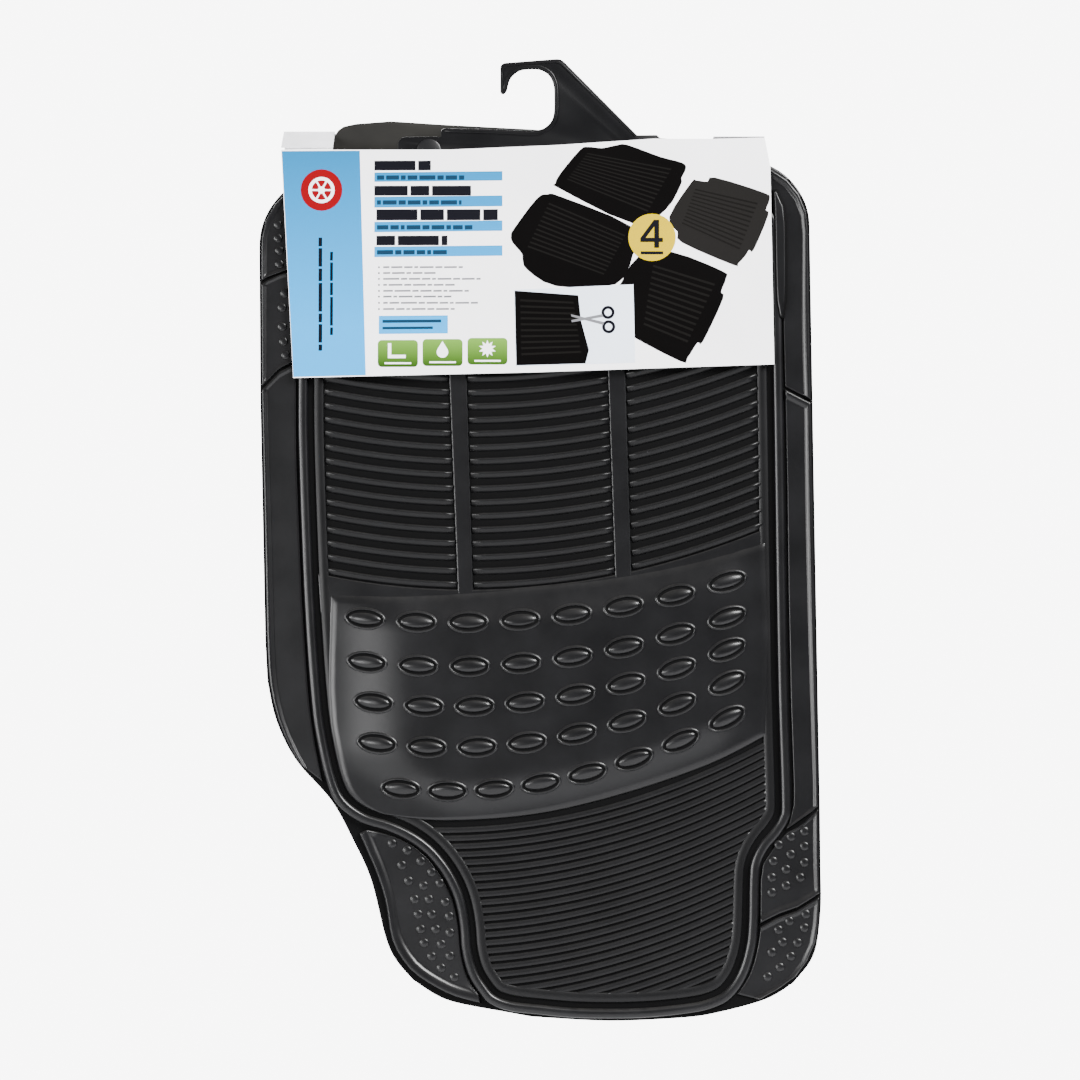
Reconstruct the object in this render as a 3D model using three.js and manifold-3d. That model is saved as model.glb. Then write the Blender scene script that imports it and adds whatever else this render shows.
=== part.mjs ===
// Floor mat set for a car, packed for the shop: four rubber mats clamped in a hook hanger
// with a folded header card. Millimetres, +Z up, the treads of the front mat face -Y.
// The origin is the seat of the hook, where the shop's peg carries the set.

import * as THREE from "three";
import { mergeVertices } from "three/addons/utils/BufferGeometryUtils.js";
import Module from "manifold-3d";

const wasm = await Module();
wasm.setup();

// ---------------------------------------------------------------- driving dimensions

const SHEET = 2.2; // thickness of a mat's plain rubber sheet
const RIM_HEIGHT = 4; // how far the tray rim stands above the sheet
const RIM_WIDTH = 11;
const PLATEAU_HEIGHT = 2.2;
const CLEARANCE = 0.3; // gap kept between touching pieces

const PLATE_THICKNESS = 3; // hook plate, centred on the hook's own mid-plane
const BACK_PLATE_THICKNESS = 2.5;
const PLATE_TOP = -49.6;
const PLATE_BOTTOM = -73;
const PLATE_LEFT = -97.8;
const PLATE_RIGHT = 96.3;
const PLATE_CORNER = 6;

const HINGE_Z = -76; // the mats bend here, just under the clamped plates
const FRONT_PLATE_BACK = PLATE_THICKNESS / 2;

// Depth of each mat's smooth face. The two mats in front show their treads to -Y,
// the two behind show theirs to +Y.
const DRIVER_SMOOTH = FRONT_PLATE_BACK + CLEARANCE + SHEET;
const LAYER_PITCH = 7;
const SMOOTH_GAP = 0.6; // between the two rear mats, which hang back to back
const REAR_FRONT_SMOOTH = DRIVER_SMOOTH + LAYER_PITCH;
const REAR_BACK_SMOOTH = REAR_FRONT_SMOOTH + SMOOTH_GAP;
const PASSENGER_SMOOTH = REAR_BACK_SMOOTH + LAYER_PITCH;
const PASSENGER_RAISE = 3; // the rearmost mat is pinned this much higher

const PIN_X = [-75, 73.5];
const PIN_Z = [-60.3, -63];
const PIN_RADIUS = 3;
const PIN_HEAD_RADIUS = 9;
const PIN_HEAD_THICKNESS = 0.9;
const PIN_HOLE_RADIUS = PIN_RADIUS + CLEARANCE;
const CAP_RADIUS = 7.5;
const CAP_THICKNESS = 2.3;
const CHAMFER = 0.8; // on the pins' tips, their heads and the caps

const CARD = 0.5; // thickness of the printed card
const CARD_FRONT_FACE = -3.9;
const CARD_BACK_FACE = 27.2;
const CARD_LEFT = -183.5;
const CARD_RIGHT = 171.5;
const WINDOW_LEFT = -145.5;
const WINDOW_RIGHT = 134;
const FRONT_CREASE_LEFT_Z = -59.5;
const FRONT_CREASE_RIGHT_Z = -50.5;
const BACK_CREASE_LEFT_Z = -43.7;
const BACK_CREASE_RIGHT_Z = -52.3;
const BACK_PANEL_LENGTH = 96;
const BACK_PANEL_TAPER = 6; // the rear panel is this much shorter at its right edge
const BRIDGE_LIFT = 0.9; // the bridges clear the tops of both panels by this much
const WINDOW_TAB = 1.2; // the front panel's edge rises this far above its crease in the window

const COLOURS = {
  rubber: { color: 0x2a2a2b, roughness: 0.62, metalness: 0 },
  hanger: { color: 0x222123, roughness: 0.4, metalness: 0 },
  pin: { color: 0x6d6f73, roughness: 0.3, metalness: 0 },
  card: { color: 0xe9e9ec, roughness: 0.5, metalness: 0 },
};

// ---------------------------------------------------------------- helpers

const set = new THREE.Group();

function addMesh(name, geometry, finish) {
  const mesh = new THREE.Mesh(geometry, new THREE.MeshStandardMaterial(COLOURS[finish]));
  mesh.name = name;
  set.add(mesh);
}

// A flat piece: an outline in X and Z, thick from one depth Y to another.
function plate(outline, yFront, yBack, curveSegments = 8) {
  const depth = yBack - yFront;
  const geometry = new THREE.ExtrudeGeometry(outline, { depth, bevelEnabled: false, curveSegments });
  geometry.rotateX(Math.PI / 2);
  geometry.translate(0, yBack, 0);
  return geometry;
}

function toSolid(geometry) {
  const bare = geometry.clone();
  bare.deleteAttribute("normal");
  bare.deleteAttribute("uv");
  const merged = mergeVertices(bare, 1e-4);
  return new wasm.Manifold(
    new wasm.Mesh({
      numProp: 3,
      vertProperties: new Float32Array(merged.attributes.position.array),
      triVerts: new Uint32Array(merged.index.array),
    }),
  );
}

function toGeometry(solid) {
  const mesh = solid.getMesh();
  const geometry = new THREE.BufferGeometry();
  geometry.setAttribute("position", new THREE.BufferAttribute(mesh.vertProperties, 3));
  geometry.setIndex(new THREE.BufferAttribute(mesh.triVerts, 1));
  geometry.computeVertexNormals();
  return geometry;
}

function outlineThrough(points) {
  return new THREE.Shape(points.map(([x, z]) => new THREE.Vector2(x, z)));
}

function smoothLoop(points, steps) {
  const curve = new THREE.CatmullRomCurve3(points.map(([x, z]) => new THREE.Vector3(x, z, 0)), true);
  return curve.getSpacedPoints(steps).slice(0, steps);
}

// A band of even width along a closed line, as an outline with a hole.
function bandOutline(points, width, steps) {
  const centre = smoothLoop(points, steps);
  const side = (offset) =>
    centre.map((point, i) => {
      const before = centre[(i + steps - 1) % steps];
      const after = centre[(i + 1) % steps];
      const along = after.clone().sub(before).normalize();
      return new THREE.Vector2(point.x + along.y * offset, point.y - along.x * offset);
    });
  const band = new THREE.Shape(side(width / 2));
  band.holes.push(new THREE.Path(side(-width / 2)));
  return band;
}

function withPinHoles(outline) {
  for (const [i, x] of PIN_X.entries()) {
    const hole = new THREE.Path();
    hole.absarc(x, PIN_Z[i], PIN_HOLE_RADIUS, 0, 2 * Math.PI, true);
    outline.holes.push(hole);
  }
  return outline;
}

// ---------------------------------------------------------------- the mats

// The long front-seat mat. One lower corner is cut away for the car's tunnel, and the crown is
// the top edge between the shoulders, listed from right to left.
function frontMatOutline(crown, raise) {
  const shape = new THREE.Shape();
  const at = (x, z) => new THREE.Vector2(x, z + raise);
  const leftShoulder = 51;
  const rightShoulder = 47;
  shape.absarc(-148.9, -129.1 + raise, leftShoulder, Math.PI / 2, Math.PI, false);
  shape.lineTo(-199.2, -243 + raise);
  shape.lineTo(-195.5, -420 + raise);
  shape.splineThru([
    at(-194, -449),
    at(-187.4, -478.5),
    at(-172.7, -508),
    at(-147, -537.3),
    at(-130.8, -566.7),
    at(-117.6, -596),
    at(-107, -638),
    at(-99.2, -655),
    at(-86.7, -669.6),
    at(-61.7, -684.3),
    at(-22, -692.5),
  ]);
  shape.splineThru([at(0, -696.5), at(57, -699.6), at(112, -697.3), at(138, -693.4)]);
  shape.splineThru([at(163.2, -687.2), at(193.3, -669.6), at(209.5, -644), at(213.2, -615)]);
  shape.lineTo(212.4, -537 + raise);
  shape.lineTo(208.7, -330 + raise);
  shape.absarc(158, -115 + raise, rightShoulder, 0, Math.PI / 2, false);
  for (const [x, z] of crown) shape.lineTo(x, z);
  return withPinHoles(shape);
}

const DRIVER_CROWN = [
  [104, -66],
  [92, -52],
  [-92, -52],
  [-102, -68],
];

const PASSENGER_CROWN = [
  [134, -56],
  [117, -53],
  [0, -45],
  [-66, -41.5],
  [-103.6, -39],
  [-130, -41],
  [-141, -43.5],
  [-146.5, -51],
  [-150, -60],
];

// The tray rim runs inside the edge and steps in beside the stippled corner panels.
const FRONT_RIM = [
  [-166, -130],
  [-165.4, -228],
  [-163.9, -317],
  [-161, -390],
  [-156.6, -449],
  [-149, -500],
  [-139, -536],
  [-111, -556.5],
  [-76, -578],
  [-56, -610],
  [-51, -640],
  [-43, -670],
  [-25, -685],
  [36, -692],
  [95, -691],
  [138, -683],
  [161, -664],
  [167.5, -625],
  [170, -580],
  [184, -553],
  [185.5, -520],
  [182, -382],
  [179.3, -234],
  [177.5, -130],
  [170, -106],
  [148, -98],
  [60, -95],
  [-60, -95],
  [-138, -99],
  [-158, -108],
];

// The raised field of oval bumps across the middle.
const FRONT_PLATEAU = [
  [-148, -385],
  [-45, -383.5],
  [66, -372],
  [172, -346],
  [173, -490],
  [131, -512],
  [66, -534],
  [1, -548],
  [-66, -552.5],
  [-102, -546],
  [-136, -516],
  [-151, -469],
];

// The short mat for the rear seats.
function rearMatOutline() {
  const shape = new THREE.Shape();
  shape.absarc(-154, -116, 36, Math.PI / 2, Math.PI, false);
  shape.lineTo(-186, -433);
  shape.absarc(-116, -433, 70, Math.PI, 1.5 * Math.PI, false);
  shape.lineTo(-60, -503);
  shape.lineTo(-54, -496);
  shape.lineTo(70, -496);
  shape.lineTo(76, -503);
  shape.absarc(150, -455, 48, -0.5 * Math.PI, 0, false);
  shape.absarc(160, -118, 38, 0, Math.PI / 2, false);
  shape.lineTo(98, -80);
  shape.lineTo(90, -52);
  shape.lineTo(-90, -52);
  shape.lineTo(-98, -80);
  return withPinHoles(shape);
}

const REAR_RIM = [
  [-160, -130],
  [-160, -270],
  [-158, -420],
  [-136, -462],
  [-90, -474],
  [10, -474],
  [120, -474],
  [160, -462],
  [171, -420],
  [172, -270],
  [172, -130],
  [160, -106],
  [130, -98],
  [10, -96],
  [-120, -98],
  [-149, -106],
];

const REAR_PLATEAU = [
  [-144, -290],
  [154, -280],
  [154, -400],
  [-138, -410],
];

// One mat as a solid. Its treads face -Y, or +Y when it is turned round.
function matSolid({ outline, rim, rimSteps, plateau, smoothY, turned, raise }) {
  const away = turned ? 1 : -1;
  const layer = (shape, height) => {
    const faces = [smoothY, smoothY + away * height].sort((a, b) => a - b);
    return toSolid(plate(shape, faces[0], faces[1]));
  };
  const lifted = (points) => points.map(([x, z]) => [x, z + raise]);
  return layer(outline, SHEET)
    .add(layer(bandOutline(lifted(rim), RIM_WIDTH, rimSteps), SHEET + RIM_HEIGHT))
    .add(layer(outlineThrough(lifted(plateau)), SHEET + PLATEAU_HEIGHT));
}

// The clamped head and the hanging leaf are the two sides of the bend.
function addMat(name, options) {
  const solid = matSolid(options);
  const span = 1000;
  const above = new THREE.BoxGeometry(span, span, span);
  above.translate(0, 0, HINGE_Z + CLEARANCE / 2 + span / 2);
  const below = new THREE.BoxGeometry(span, span, span);
  below.translate(0, 0, HINGE_Z - CLEARANCE / 2 - span / 2);
  addMesh(`${name}_head`, toGeometry(solid.intersect(toSolid(above))), "rubber");
  addMesh(`${name}_leaf`, toGeometry(solid.intersect(toSolid(below))), "rubber");
}

addMat("driver_mat", {
  outline: frontMatOutline(DRIVER_CROWN, 0),
  rim: FRONT_RIM,
  rimSteps: 84,
  plateau: FRONT_PLATEAU,
  smoothY: DRIVER_SMOOTH,
  turned: false,
  raise: 0,
});

addMat("rear_mat_left", {
  outline: rearMatOutline(),
  rim: REAR_RIM,
  rimSteps: 48,
  plateau: REAR_PLATEAU,
  smoothY: REAR_FRONT_SMOOTH,
  turned: false,
  raise: 0,
});

addMat("rear_mat_right", {
  outline: rearMatOutline(),
  rim: REAR_RIM,
  rimSteps: 48,
  plateau: REAR_PLATEAU,
  smoothY: REAR_BACK_SMOOTH,
  turned: true,
  raise: 0,
});

addMat("passenger_mat", {
  outline: frontMatOutline(PASSENGER_CROWN, PASSENGER_RAISE),
  rim: FRONT_RIM,
  rimSteps: 84,
  plateau: FRONT_PLATEAU,
  smoothY: PASSENGER_SMOOTH,
  turned: true,
  raise: PASSENGER_RAISE,
});

// ---------------------------------------------------------------- the hanger

function roundedBar(left, right, bottom, top, radius) {
  const shape = new THREE.Shape();
  shape.absarc(left + radius, bottom + radius, radius, Math.PI, 1.5 * Math.PI, false);
  shape.absarc(right - radius, bottom + radius, radius, 1.5 * Math.PI, 2 * Math.PI, false);
  shape.absarc(right - radius, top - radius, radius, 0, 0.5 * Math.PI, false);
  shape.absarc(left + radius, top - radius, radius, 0.5 * Math.PI, Math.PI, false);
  return shape;
}

// Clamp bar, triangular web and hook in one plate. The mouth opens to the left.
function hookPlateOutline() {
  const shape = new THREE.Shape();
  const r = PLATE_CORNER;
  shape.absarc(PLATE_LEFT + r, PLATE_BOTTOM + r, r, Math.PI, 1.5 * Math.PI, false);
  shape.absarc(PLATE_RIGHT - r, PLATE_BOTTOM + r, r, 1.5 * Math.PI, 2 * Math.PI, false);
  shape.lineTo(PLATE_RIGHT, -52);
  shape.lineTo(92.5, -48.3);
  shape.lineTo(77.9, -48.5);
  shape.lineTo(24.5, 5.2);
  shape.quadraticCurveTo(22, 7.7, 18.4, 7.5);
  shape.lineTo(-18.3, 4.7);
  shape.quadraticCurveTo(-22.6, 4.4, -22.6, 0.4);
  shape.lineTo(-22.6, -17);
  shape.quadraticCurveTo(-20, -20.5, -17.6, -15.2);
  shape.splineThru([
    new THREE.Vector2(-15, -6.8),
    new THREE.Vector2(-8.5, -1.2),
    new THREE.Vector2(0, 0),
    new THREE.Vector2(7.4, -0.7),
    new THREE.Vector2(13.6, -4.9),
    new THREE.Vector2(16.6, -12),
    new THREE.Vector2(17.1, -21),
    new THREE.Vector2(16.9, -31),
    new THREE.Vector2(15, -38),
    new THREE.Vector2(9.4, -43.4),
    new THREE.Vector2(1, -45.4),
  ]);
  shape.lineTo(-37.5, -43.8);
  shape.lineTo(-64.2, -43.4);
  shape.lineTo(-66.2, -45.4);
  shape.lineTo(-66.2, PLATE_TOP);
  shape.absarc(PLATE_LEFT + r, PLATE_TOP - r, r, 0.5 * Math.PI, Math.PI, false);
  return withPinHoles(shape);
}

const HOOK_FRONT = -PLATE_THICKNESS / 2;
addMesh("hanger_hook_plate", plate(hookPlateOutline(), HOOK_FRONT, FRONT_PLATE_BACK, 5), "hanger");

const BACK_PLATE_FRONT = PASSENGER_SMOOTH + SHEET + CLEARANCE;
const BACK_PLATE_BACK = BACK_PLATE_FRONT + BACK_PLATE_THICKNESS;
const backPlate = roundedBar(PLATE_LEFT, PLATE_RIGHT, PLATE_BOTTOM, PLATE_TOP, PLATE_CORNER);
addMesh("hanger_back_plate", plate(withPinHoles(backPlate), BACK_PLATE_FRONT, BACK_PLATE_BACK), "hanger");

// Each pin pushes through the plates and all four mats and is held by a cap behind.
function turned(profile, x, z) {
  const points = profile.map(([radius, y]) => new THREE.Vector2(radius, y));
  const geometry = new THREE.LatheGeometry(points, 28);
  geometry.translate(x, 0, z);
  return geometry;
}

for (const [i, side] of ["left", "right"].entries()) {
  const headBack = HOOK_FRONT - CLEARANCE;
  const headFront = headBack - PIN_HEAD_THICKNESS;
  const capFront = BACK_PLATE_BACK + CLEARANCE;
  const capBack = capFront + CAP_THICKNESS;
  const pinProfile = [
    [0, headFront],
    [PIN_HEAD_RADIUS - CHAMFER, headFront],
    [PIN_HEAD_RADIUS, headFront + CHAMFER / 2],
    [PIN_HEAD_RADIUS, headBack],
    [PIN_RADIUS, headBack],
    [PIN_RADIUS, capBack - CHAMFER],
    [PIN_RADIUS - CHAMFER, capBack],
    [0, capBack],
  ];
  const capProfile = [
    [PIN_HOLE_RADIUS, capFront],
    [CAP_RADIUS, capFront],
    [CAP_RADIUS, capBack - CHAMFER],
    [CAP_RADIUS - CHAMFER, capBack],
    [PIN_HOLE_RADIUS, capBack],
    [PIN_HOLE_RADIUS, capFront],
  ];
  addMesh(`snap_pin_${side}`, turned(pinProfile, PIN_X[i], PIN_Z[i]), "pin");
  addMesh(`snap_cap_${side}`, turned(capProfile, PIN_X[i], PIN_Z[i]), "pin");
}

// ---------------------------------------------------------------- the header card

function frontCreaseZ(x) {
  const share = (x - CARD_LEFT) / (CARD_RIGHT - CARD_LEFT);
  return THREE.MathUtils.lerp(FRONT_CREASE_LEFT_Z, FRONT_CREASE_RIGHT_Z, share);
}

function backCreaseZ(x) {
  const share = (x - CARD_LEFT) / (CARD_RIGHT - CARD_LEFT);
  return THREE.MathUtils.lerp(BACK_CREASE_LEFT_Z, BACK_CREASE_RIGHT_Z, share);
}

const frontPanel = outlineThrough([
  [CARD_LEFT, frontCreaseZ(CARD_LEFT)],
  [-174.6, -227],
  [0, -223],
  [178.6, -217],
  [175.7, -72],
  [CARD_RIGHT, frontCreaseZ(CARD_RIGHT)],
  [WINDOW_RIGHT, frontCreaseZ(WINDOW_RIGHT)],
  [90, frontCreaseZ(90) + WINDOW_TAB],
  [20, -56],
  [-60, -59.4],
  [WINDOW_LEFT, -59.5],
  [WINDOW_LEFT, frontCreaseZ(WINDOW_LEFT)],
]);
addMesh("card_front_panel", plate(frontPanel, CARD_FRONT_FACE, CARD_FRONT_FACE + CARD), "card");

const backPanel = outlineThrough([
  [CARD_LEFT, backCreaseZ(CARD_LEFT)],
  [CARD_LEFT + 4, backCreaseZ(CARD_LEFT) - BACK_PANEL_LENGTH],
  [CARD_RIGHT + 4, backCreaseZ(CARD_RIGHT) - BACK_PANEL_LENGTH + BACK_PANEL_TAPER],
  [CARD_RIGHT, backCreaseZ(CARD_RIGHT)],
]);
addMesh("card_back_panel", plate(backPanel, CARD_BACK_FACE - CARD, CARD_BACK_FACE), "card");

// The two bridges of card over the top, on either side of the window for the hook.
function bridge(left, right) {
  const middle = (left + right) / 2;
  const front = CARD_FRONT_FACE;
  const back = CARD_BACK_FACE;
  const frontZ = frontCreaseZ(middle) + BRIDGE_LIFT;
  const backZ = backCreaseZ(middle) + BRIDGE_LIFT;
  const profile = outlineThrough([
    [front, frontZ],
    [back, backZ],
    [back, backZ + CARD],
    [front, frontZ + CARD],
  ]);
  const geometry = new THREE.ExtrudeGeometry(profile, { depth: right - left, bevelEnabled: false });
  geometry.rotateX(Math.PI / 2);
  geometry.rotateZ(Math.PI / 2);
  geometry.translate(left, 0, 0);
  return geometry;
}

addMesh("card_bridge_left", bridge(CARD_LEFT, WINDOW_LEFT), "card");
addMesh("card_bridge_right", bridge(WINDOW_RIGHT, CARD_RIGHT), "card");

export default set;
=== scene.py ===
"""Floor mat set: four moulded rubber car mats in a hook hanger with a printed header card.

A mat is modelled lying flat, in millimetres: x across, y up the mat, z out of its tread. It is
then stood up in the frame, where x stays, y becomes Z, and z points to the frame's -Y or +Y.
"""

import math

import bmesh
import bpy
from mathutils import Matrix, Vector
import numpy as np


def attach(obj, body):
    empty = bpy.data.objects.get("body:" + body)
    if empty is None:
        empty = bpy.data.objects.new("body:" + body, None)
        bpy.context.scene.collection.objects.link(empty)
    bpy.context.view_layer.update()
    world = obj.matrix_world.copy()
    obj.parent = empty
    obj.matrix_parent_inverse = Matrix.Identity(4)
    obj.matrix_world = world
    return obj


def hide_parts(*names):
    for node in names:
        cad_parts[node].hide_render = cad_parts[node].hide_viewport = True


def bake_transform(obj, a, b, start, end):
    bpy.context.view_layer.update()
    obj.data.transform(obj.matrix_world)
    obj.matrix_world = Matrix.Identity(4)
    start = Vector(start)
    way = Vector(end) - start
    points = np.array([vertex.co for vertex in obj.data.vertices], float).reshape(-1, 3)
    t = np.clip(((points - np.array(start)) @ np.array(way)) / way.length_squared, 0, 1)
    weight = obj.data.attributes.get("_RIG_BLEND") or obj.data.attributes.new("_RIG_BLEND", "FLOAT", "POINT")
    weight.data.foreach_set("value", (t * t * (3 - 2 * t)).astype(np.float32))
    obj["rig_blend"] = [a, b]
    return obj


bl_info = {
    "name": "Floor Mat Set",
    "version": (1, 0, 0),
    "blender": (4, 5, 0),
    "location": "View3D > Sidebar > Floor Mats",
    "description": "Moulded rubber floor mats in a hook hanger with a header card",
    "category": "Object",
}

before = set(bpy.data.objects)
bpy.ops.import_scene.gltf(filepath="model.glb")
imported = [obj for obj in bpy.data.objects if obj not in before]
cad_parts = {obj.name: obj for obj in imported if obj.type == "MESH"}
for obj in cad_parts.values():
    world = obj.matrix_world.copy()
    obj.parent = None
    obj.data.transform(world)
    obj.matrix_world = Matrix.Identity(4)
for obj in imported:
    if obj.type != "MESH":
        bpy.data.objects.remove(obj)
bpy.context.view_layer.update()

MM = 0.001
# Slot 1 is rubber painted near black as shade for recess floors, moats and surrounds; slot 3 is rubber
# painted a little darker as shade for ribs and bands.
RUBBER, PAINTED_SHADE, UNDERSIDE, RIB_SHADE = 0, 1, 2, 3  # material slots of a mat

SHEET = 2.2  # thickness of the rubber
RIM_WIDTH, RIM_HEIGHT = 7.2, 4.0  # the bead round the tread
BAND_INSET, BAND_WIDTH, BAND_HEIGHT = 11.6, 7.4, 1.45  # the flat band inside the rim
RIB_PITCH, RIB_WIDTH, RIB_HEIGHT = 10.1, 5.4, 2.0
RIB_CENTRE, RIB_BOW = -44.8, 525  # where the upper ribs hang lowest, and their radius
FINE_PITCH, FINE_WIDTH, FINE_HEIGHT = 6.0, 4.2, 1.35
FINE_CENTRE, FINE_BOW = -64.7, 448
DIVIDER_HEIGHT = 1.3  # the plain strips between the rib panels
PLATEAU_HEIGHT = 2.4
PLATEAU_SWELL = 5.2  # how far the middle of the plateau bulges
WING_HEIGHT = 1.4
OVAL_LENGTH, OVAL_WIDTH = 31.6, 17


# ------------------------------------------------------------------ lines and patches


class Line:
    """A line on the flat mat, read by its share of length from 0 to 1."""

    def __init__(self, points):
        self.points = [Vector((p[0], p[1])) for p in points]
        self.reach = [0.0]
        for a, b in zip(self.points, self.points[1:]):
            self.reach.append(self.reach[-1] + (b - a).length)
        self.length = self.reach[-1]

    def at(self, share):
        """The point at a share of the length."""
        goal = min(max(share, 0.0), 1.0) * self.length
        low, high = 0, len(self.reach) - 1
        while high - low > 1:
            middle = (low + high) // 2
            if self.reach[middle] <= goal:
                low = middle
            else:
                high = middle
        step = self.reach[high] - self.reach[low]
        part = (goal - self.reach[low]) / step if step else 0.0
        return self.points[low].lerp(self.points[high], part)

    def between(self, start, stop, count=40):
        """The stretch between two shares of length."""
        return Line([self.at(start + (stop - start) * i / count) for i in range(count + 1)])

    def share_at_y(self, y):
        """The share where a line that runs down the mat passes a height."""
        for i, (a, b) in enumerate(zip(self.points, self.points[1:])):
            if (a.y - y) * (b.y - y) <= 0 and a.y != b.y:
                along = self.reach[i] + (b - a).length * (a.y - y) / (a.y - b.y)
                return along / self.length
        raise ValueError(f"the line never passes y {y}")

    def down(self, top, bottom):
        """The stretch between two heights, from the top down."""
        return self.between(self.share_at_y(top), self.share_at_y(bottom))


def smooth(points, closed=False, steps=8):
    """A Catmull-Rom line through the points."""
    ring = [Vector((p[0], p[1])) for p in points]
    count = len(ring)

    def pick(i):
        return ring[i % count] if closed else ring[min(max(i, 0), count - 1)]

    made = []
    for i in range(count if closed else count - 1):
        a, b, c, d = pick(i - 1), pick(i), pick(i + 1), pick(i + 2)
        for k in range(steps):
            t = k / steps
            bend = (2 * a - 5 * b + 4 * c - d) * t**2 + (3 * b - a - 3 * c + d) * t**3
            made.append(0.5 * (2 * b + (c - a) * t + bend))
    if not closed:
        made.append(ring[-1])
    return made


def arc(centre, radius, start, end, steps=10):
    """Points on an arc; angles in degrees, anticlockwise from the +x side."""
    turns = [math.radians(start + (end - start) * i / steps) for i in range(steps + 1)]
    return [Vector((centre[0] + radius * math.cos(a), centre[1] + radius * math.sin(a))) for a in turns]


def offset(points, distance, closed=False):
    """The line moved to the right of its direction by a distance."""
    count = len(points)
    moved = []
    for i, p in enumerate(points):
        before = points[i - 1] if i or closed else p
        after = points[(i + 1) % count] if i < count - 1 or closed else p
        along = (after - before).normalized()
        moved.append(p + Vector((along.y, -along.x)) * distance)
    return moved


def inset_of(loop, distance):
    """A closed line moved inwards, without the loops that a tight bend would leave, and eased."""
    gap = (distance * 0.97) ** 2
    moved = offset(loop, -distance, closed=True)
    line = [p for p in moved if min((p - q).length_squared for q in loop) >= gap]
    for _ in range(3):
        line = [(a + 2 * b + c) / 4 for a, b, c in zip(line[-1:] + line[:-1], line, line[1:] + line[:1])]
    return line


def inside(point, loop):
    """Whether a point lies inside a closed line."""
    found = False
    for a, b in zip(loop, loop[1:] + loop[:1]):
        if (a.y > point.y) != (b.y > point.y):
            if point.x < a.x + (point.y - a.y) * (b.x - a.x) / (b.y - a.y):
                found = not found
    return found


def patch_point(sides, s, t):
    """A point of the patch stretched between four lines; s runs across and t runs down."""
    top, right, bottom, left = sides
    across = top.at(s).lerp(bottom.at(s), t)
    down = left.at(t).lerp(right.at(t), s)
    corners = top.at(0).lerp(bottom.at(0), t).lerp(top.at(1).lerp(bottom.at(1), t), s)
    return across + down - corners


def ease(x):
    """A slow start and a slow stop between 0 and 1."""
    x = min(max(x, 0.0), 1.0)
    return x * x * (3 - 2 * x)


def roll(x):
    """A quarter-round rise from 0 to 1."""
    x = min(max(x, 0.0), 1.0)
    return math.sqrt(1 - (1 - x) ** 2)


def between(x, low, high):
    """How far x has gone from low to high, eased."""
    return ease((x - low) / (high - low))


# ------------------------------------------------------------------ moulded features


def mapped_grid(bm, across, down, place):
    """A grid with columns and rows at the given shares, each point put where place says."""
    made = bmesh.ops.create_grid(bm, x_segments=len(across) - 1, y_segments=len(down) - 1, size=1.0)
    for v in made["verts"]:
        column = round((v.co.x + 1) / 2 * (len(across) - 1))
        row = round((1 - v.co.y) / 2 * (len(down) - 1))
        v.co = place(across[column], down[row])
    return made["verts"]


def stations(size, edge, lips, step):
    """Shares across a patch: close together over the rolled edges and the lips' inner slopes."""
    near = [edge * k for k in (0.0, 0.1, 0.3, 0.6, 1.0)] + [edge + 0.7]
    slopes = [[d for d in (lip - 2.4, lip - 1.2, lip, lip + 0.8) if lip and d > edge] for lip in lips]
    first, last = near + slopes[0], near + slopes[1]
    start, stop = max(first), size - max(last)
    middle = max(1, round((stop - start) / step))
    inner = [start + (stop - start) * k / middle for k in range(1, middle)] if stop > start else []
    marks = sorted(set(first + inner + [size - d for d in last]))
    return [min(max(m / size, 0.0), 1.0) for m in marks], start, size - stop


def held(share, full, here, first, last):
    """A share of the full width, moved so that the edge zones keep their width where it narrows."""
    if full <= first + last or here < 0.01:
        return share
    along = share * full
    squeeze = min(1.0, here / (first + last))
    if along <= first:
        return along * squeeze / here
    if along >= full - last:
        return 1 - (full - along) * squeeze / here
    part = (along - first) / (full - last - first)
    return (first * squeeze + (here - (first + last) * squeeze) * part) / here


def pad(
    bm, sides, height, edge=1.6, lips=(0, 0, 0, 0), lip_height=1.2, step=9.0, foot=-0.5, material=RUBBER
):
    """A raised field with rolled edges, closed underneath. lips are the widths of the raised
    borders at its top, right, bottom and left."""
    sides = [s if isinstance(s, Line) else Line(s) for s in sides]
    shares = (0.1, 0.3, 0.5, 0.7, 0.9)
    width = max((patch_point(sides, 1, t) - patch_point(sides, 0, t)).length for t in shares)
    tall = max(sides[1].length, sides[3].length)

    def place(s, t):
        wide = (patch_point(sides, 1, t) - patch_point(sides, 0, t)).length
        high = (patch_point(sides, s, 1) - patch_point(sides, s, 0)).length
        s = held(s, width, wide, *across_zones)
        t = held(t, tall, high, *down_zones)
        here = patch_point(sides, s, t)
        reach = (t * high, (1 - s) * wide, (1 - t) * high, s * wide)
        rise = roll(min(reach) / edge)
        near = [1 - ease((d - lip + 2.4) / 2.4) for d, lip in zip(reach, lips) if lip]
        lift = max(near, default=0.0)
        return Vector((here.x, here.y, foot + (height - foot) * rise + lip_height * lift * rise))

    across, *across_zones = stations(width, edge, (lips[3], lips[1]), step)
    down, *down_zones = stations(tall, edge, (lips[0], lips[2]), step)
    verts = mapped_grid(bm, across, down, place)
    around = {e for v in verts for e in v.link_edges if e.is_boundary}
    closed = bmesh.ops.holes_fill(bm, edges=list(around), sides=0)
    faces = {f for v in verts for f in v.link_faces} | set(closed["faces"])
    for f in faces:
        f.material_index = material
        f.smooth = True
    bmesh.ops.remove_doubles(bm, verts=verts, dist=0.001)
    bmesh.ops.recalc_face_normals(bm, faces=[f for f in faces if f.is_valid])


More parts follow.
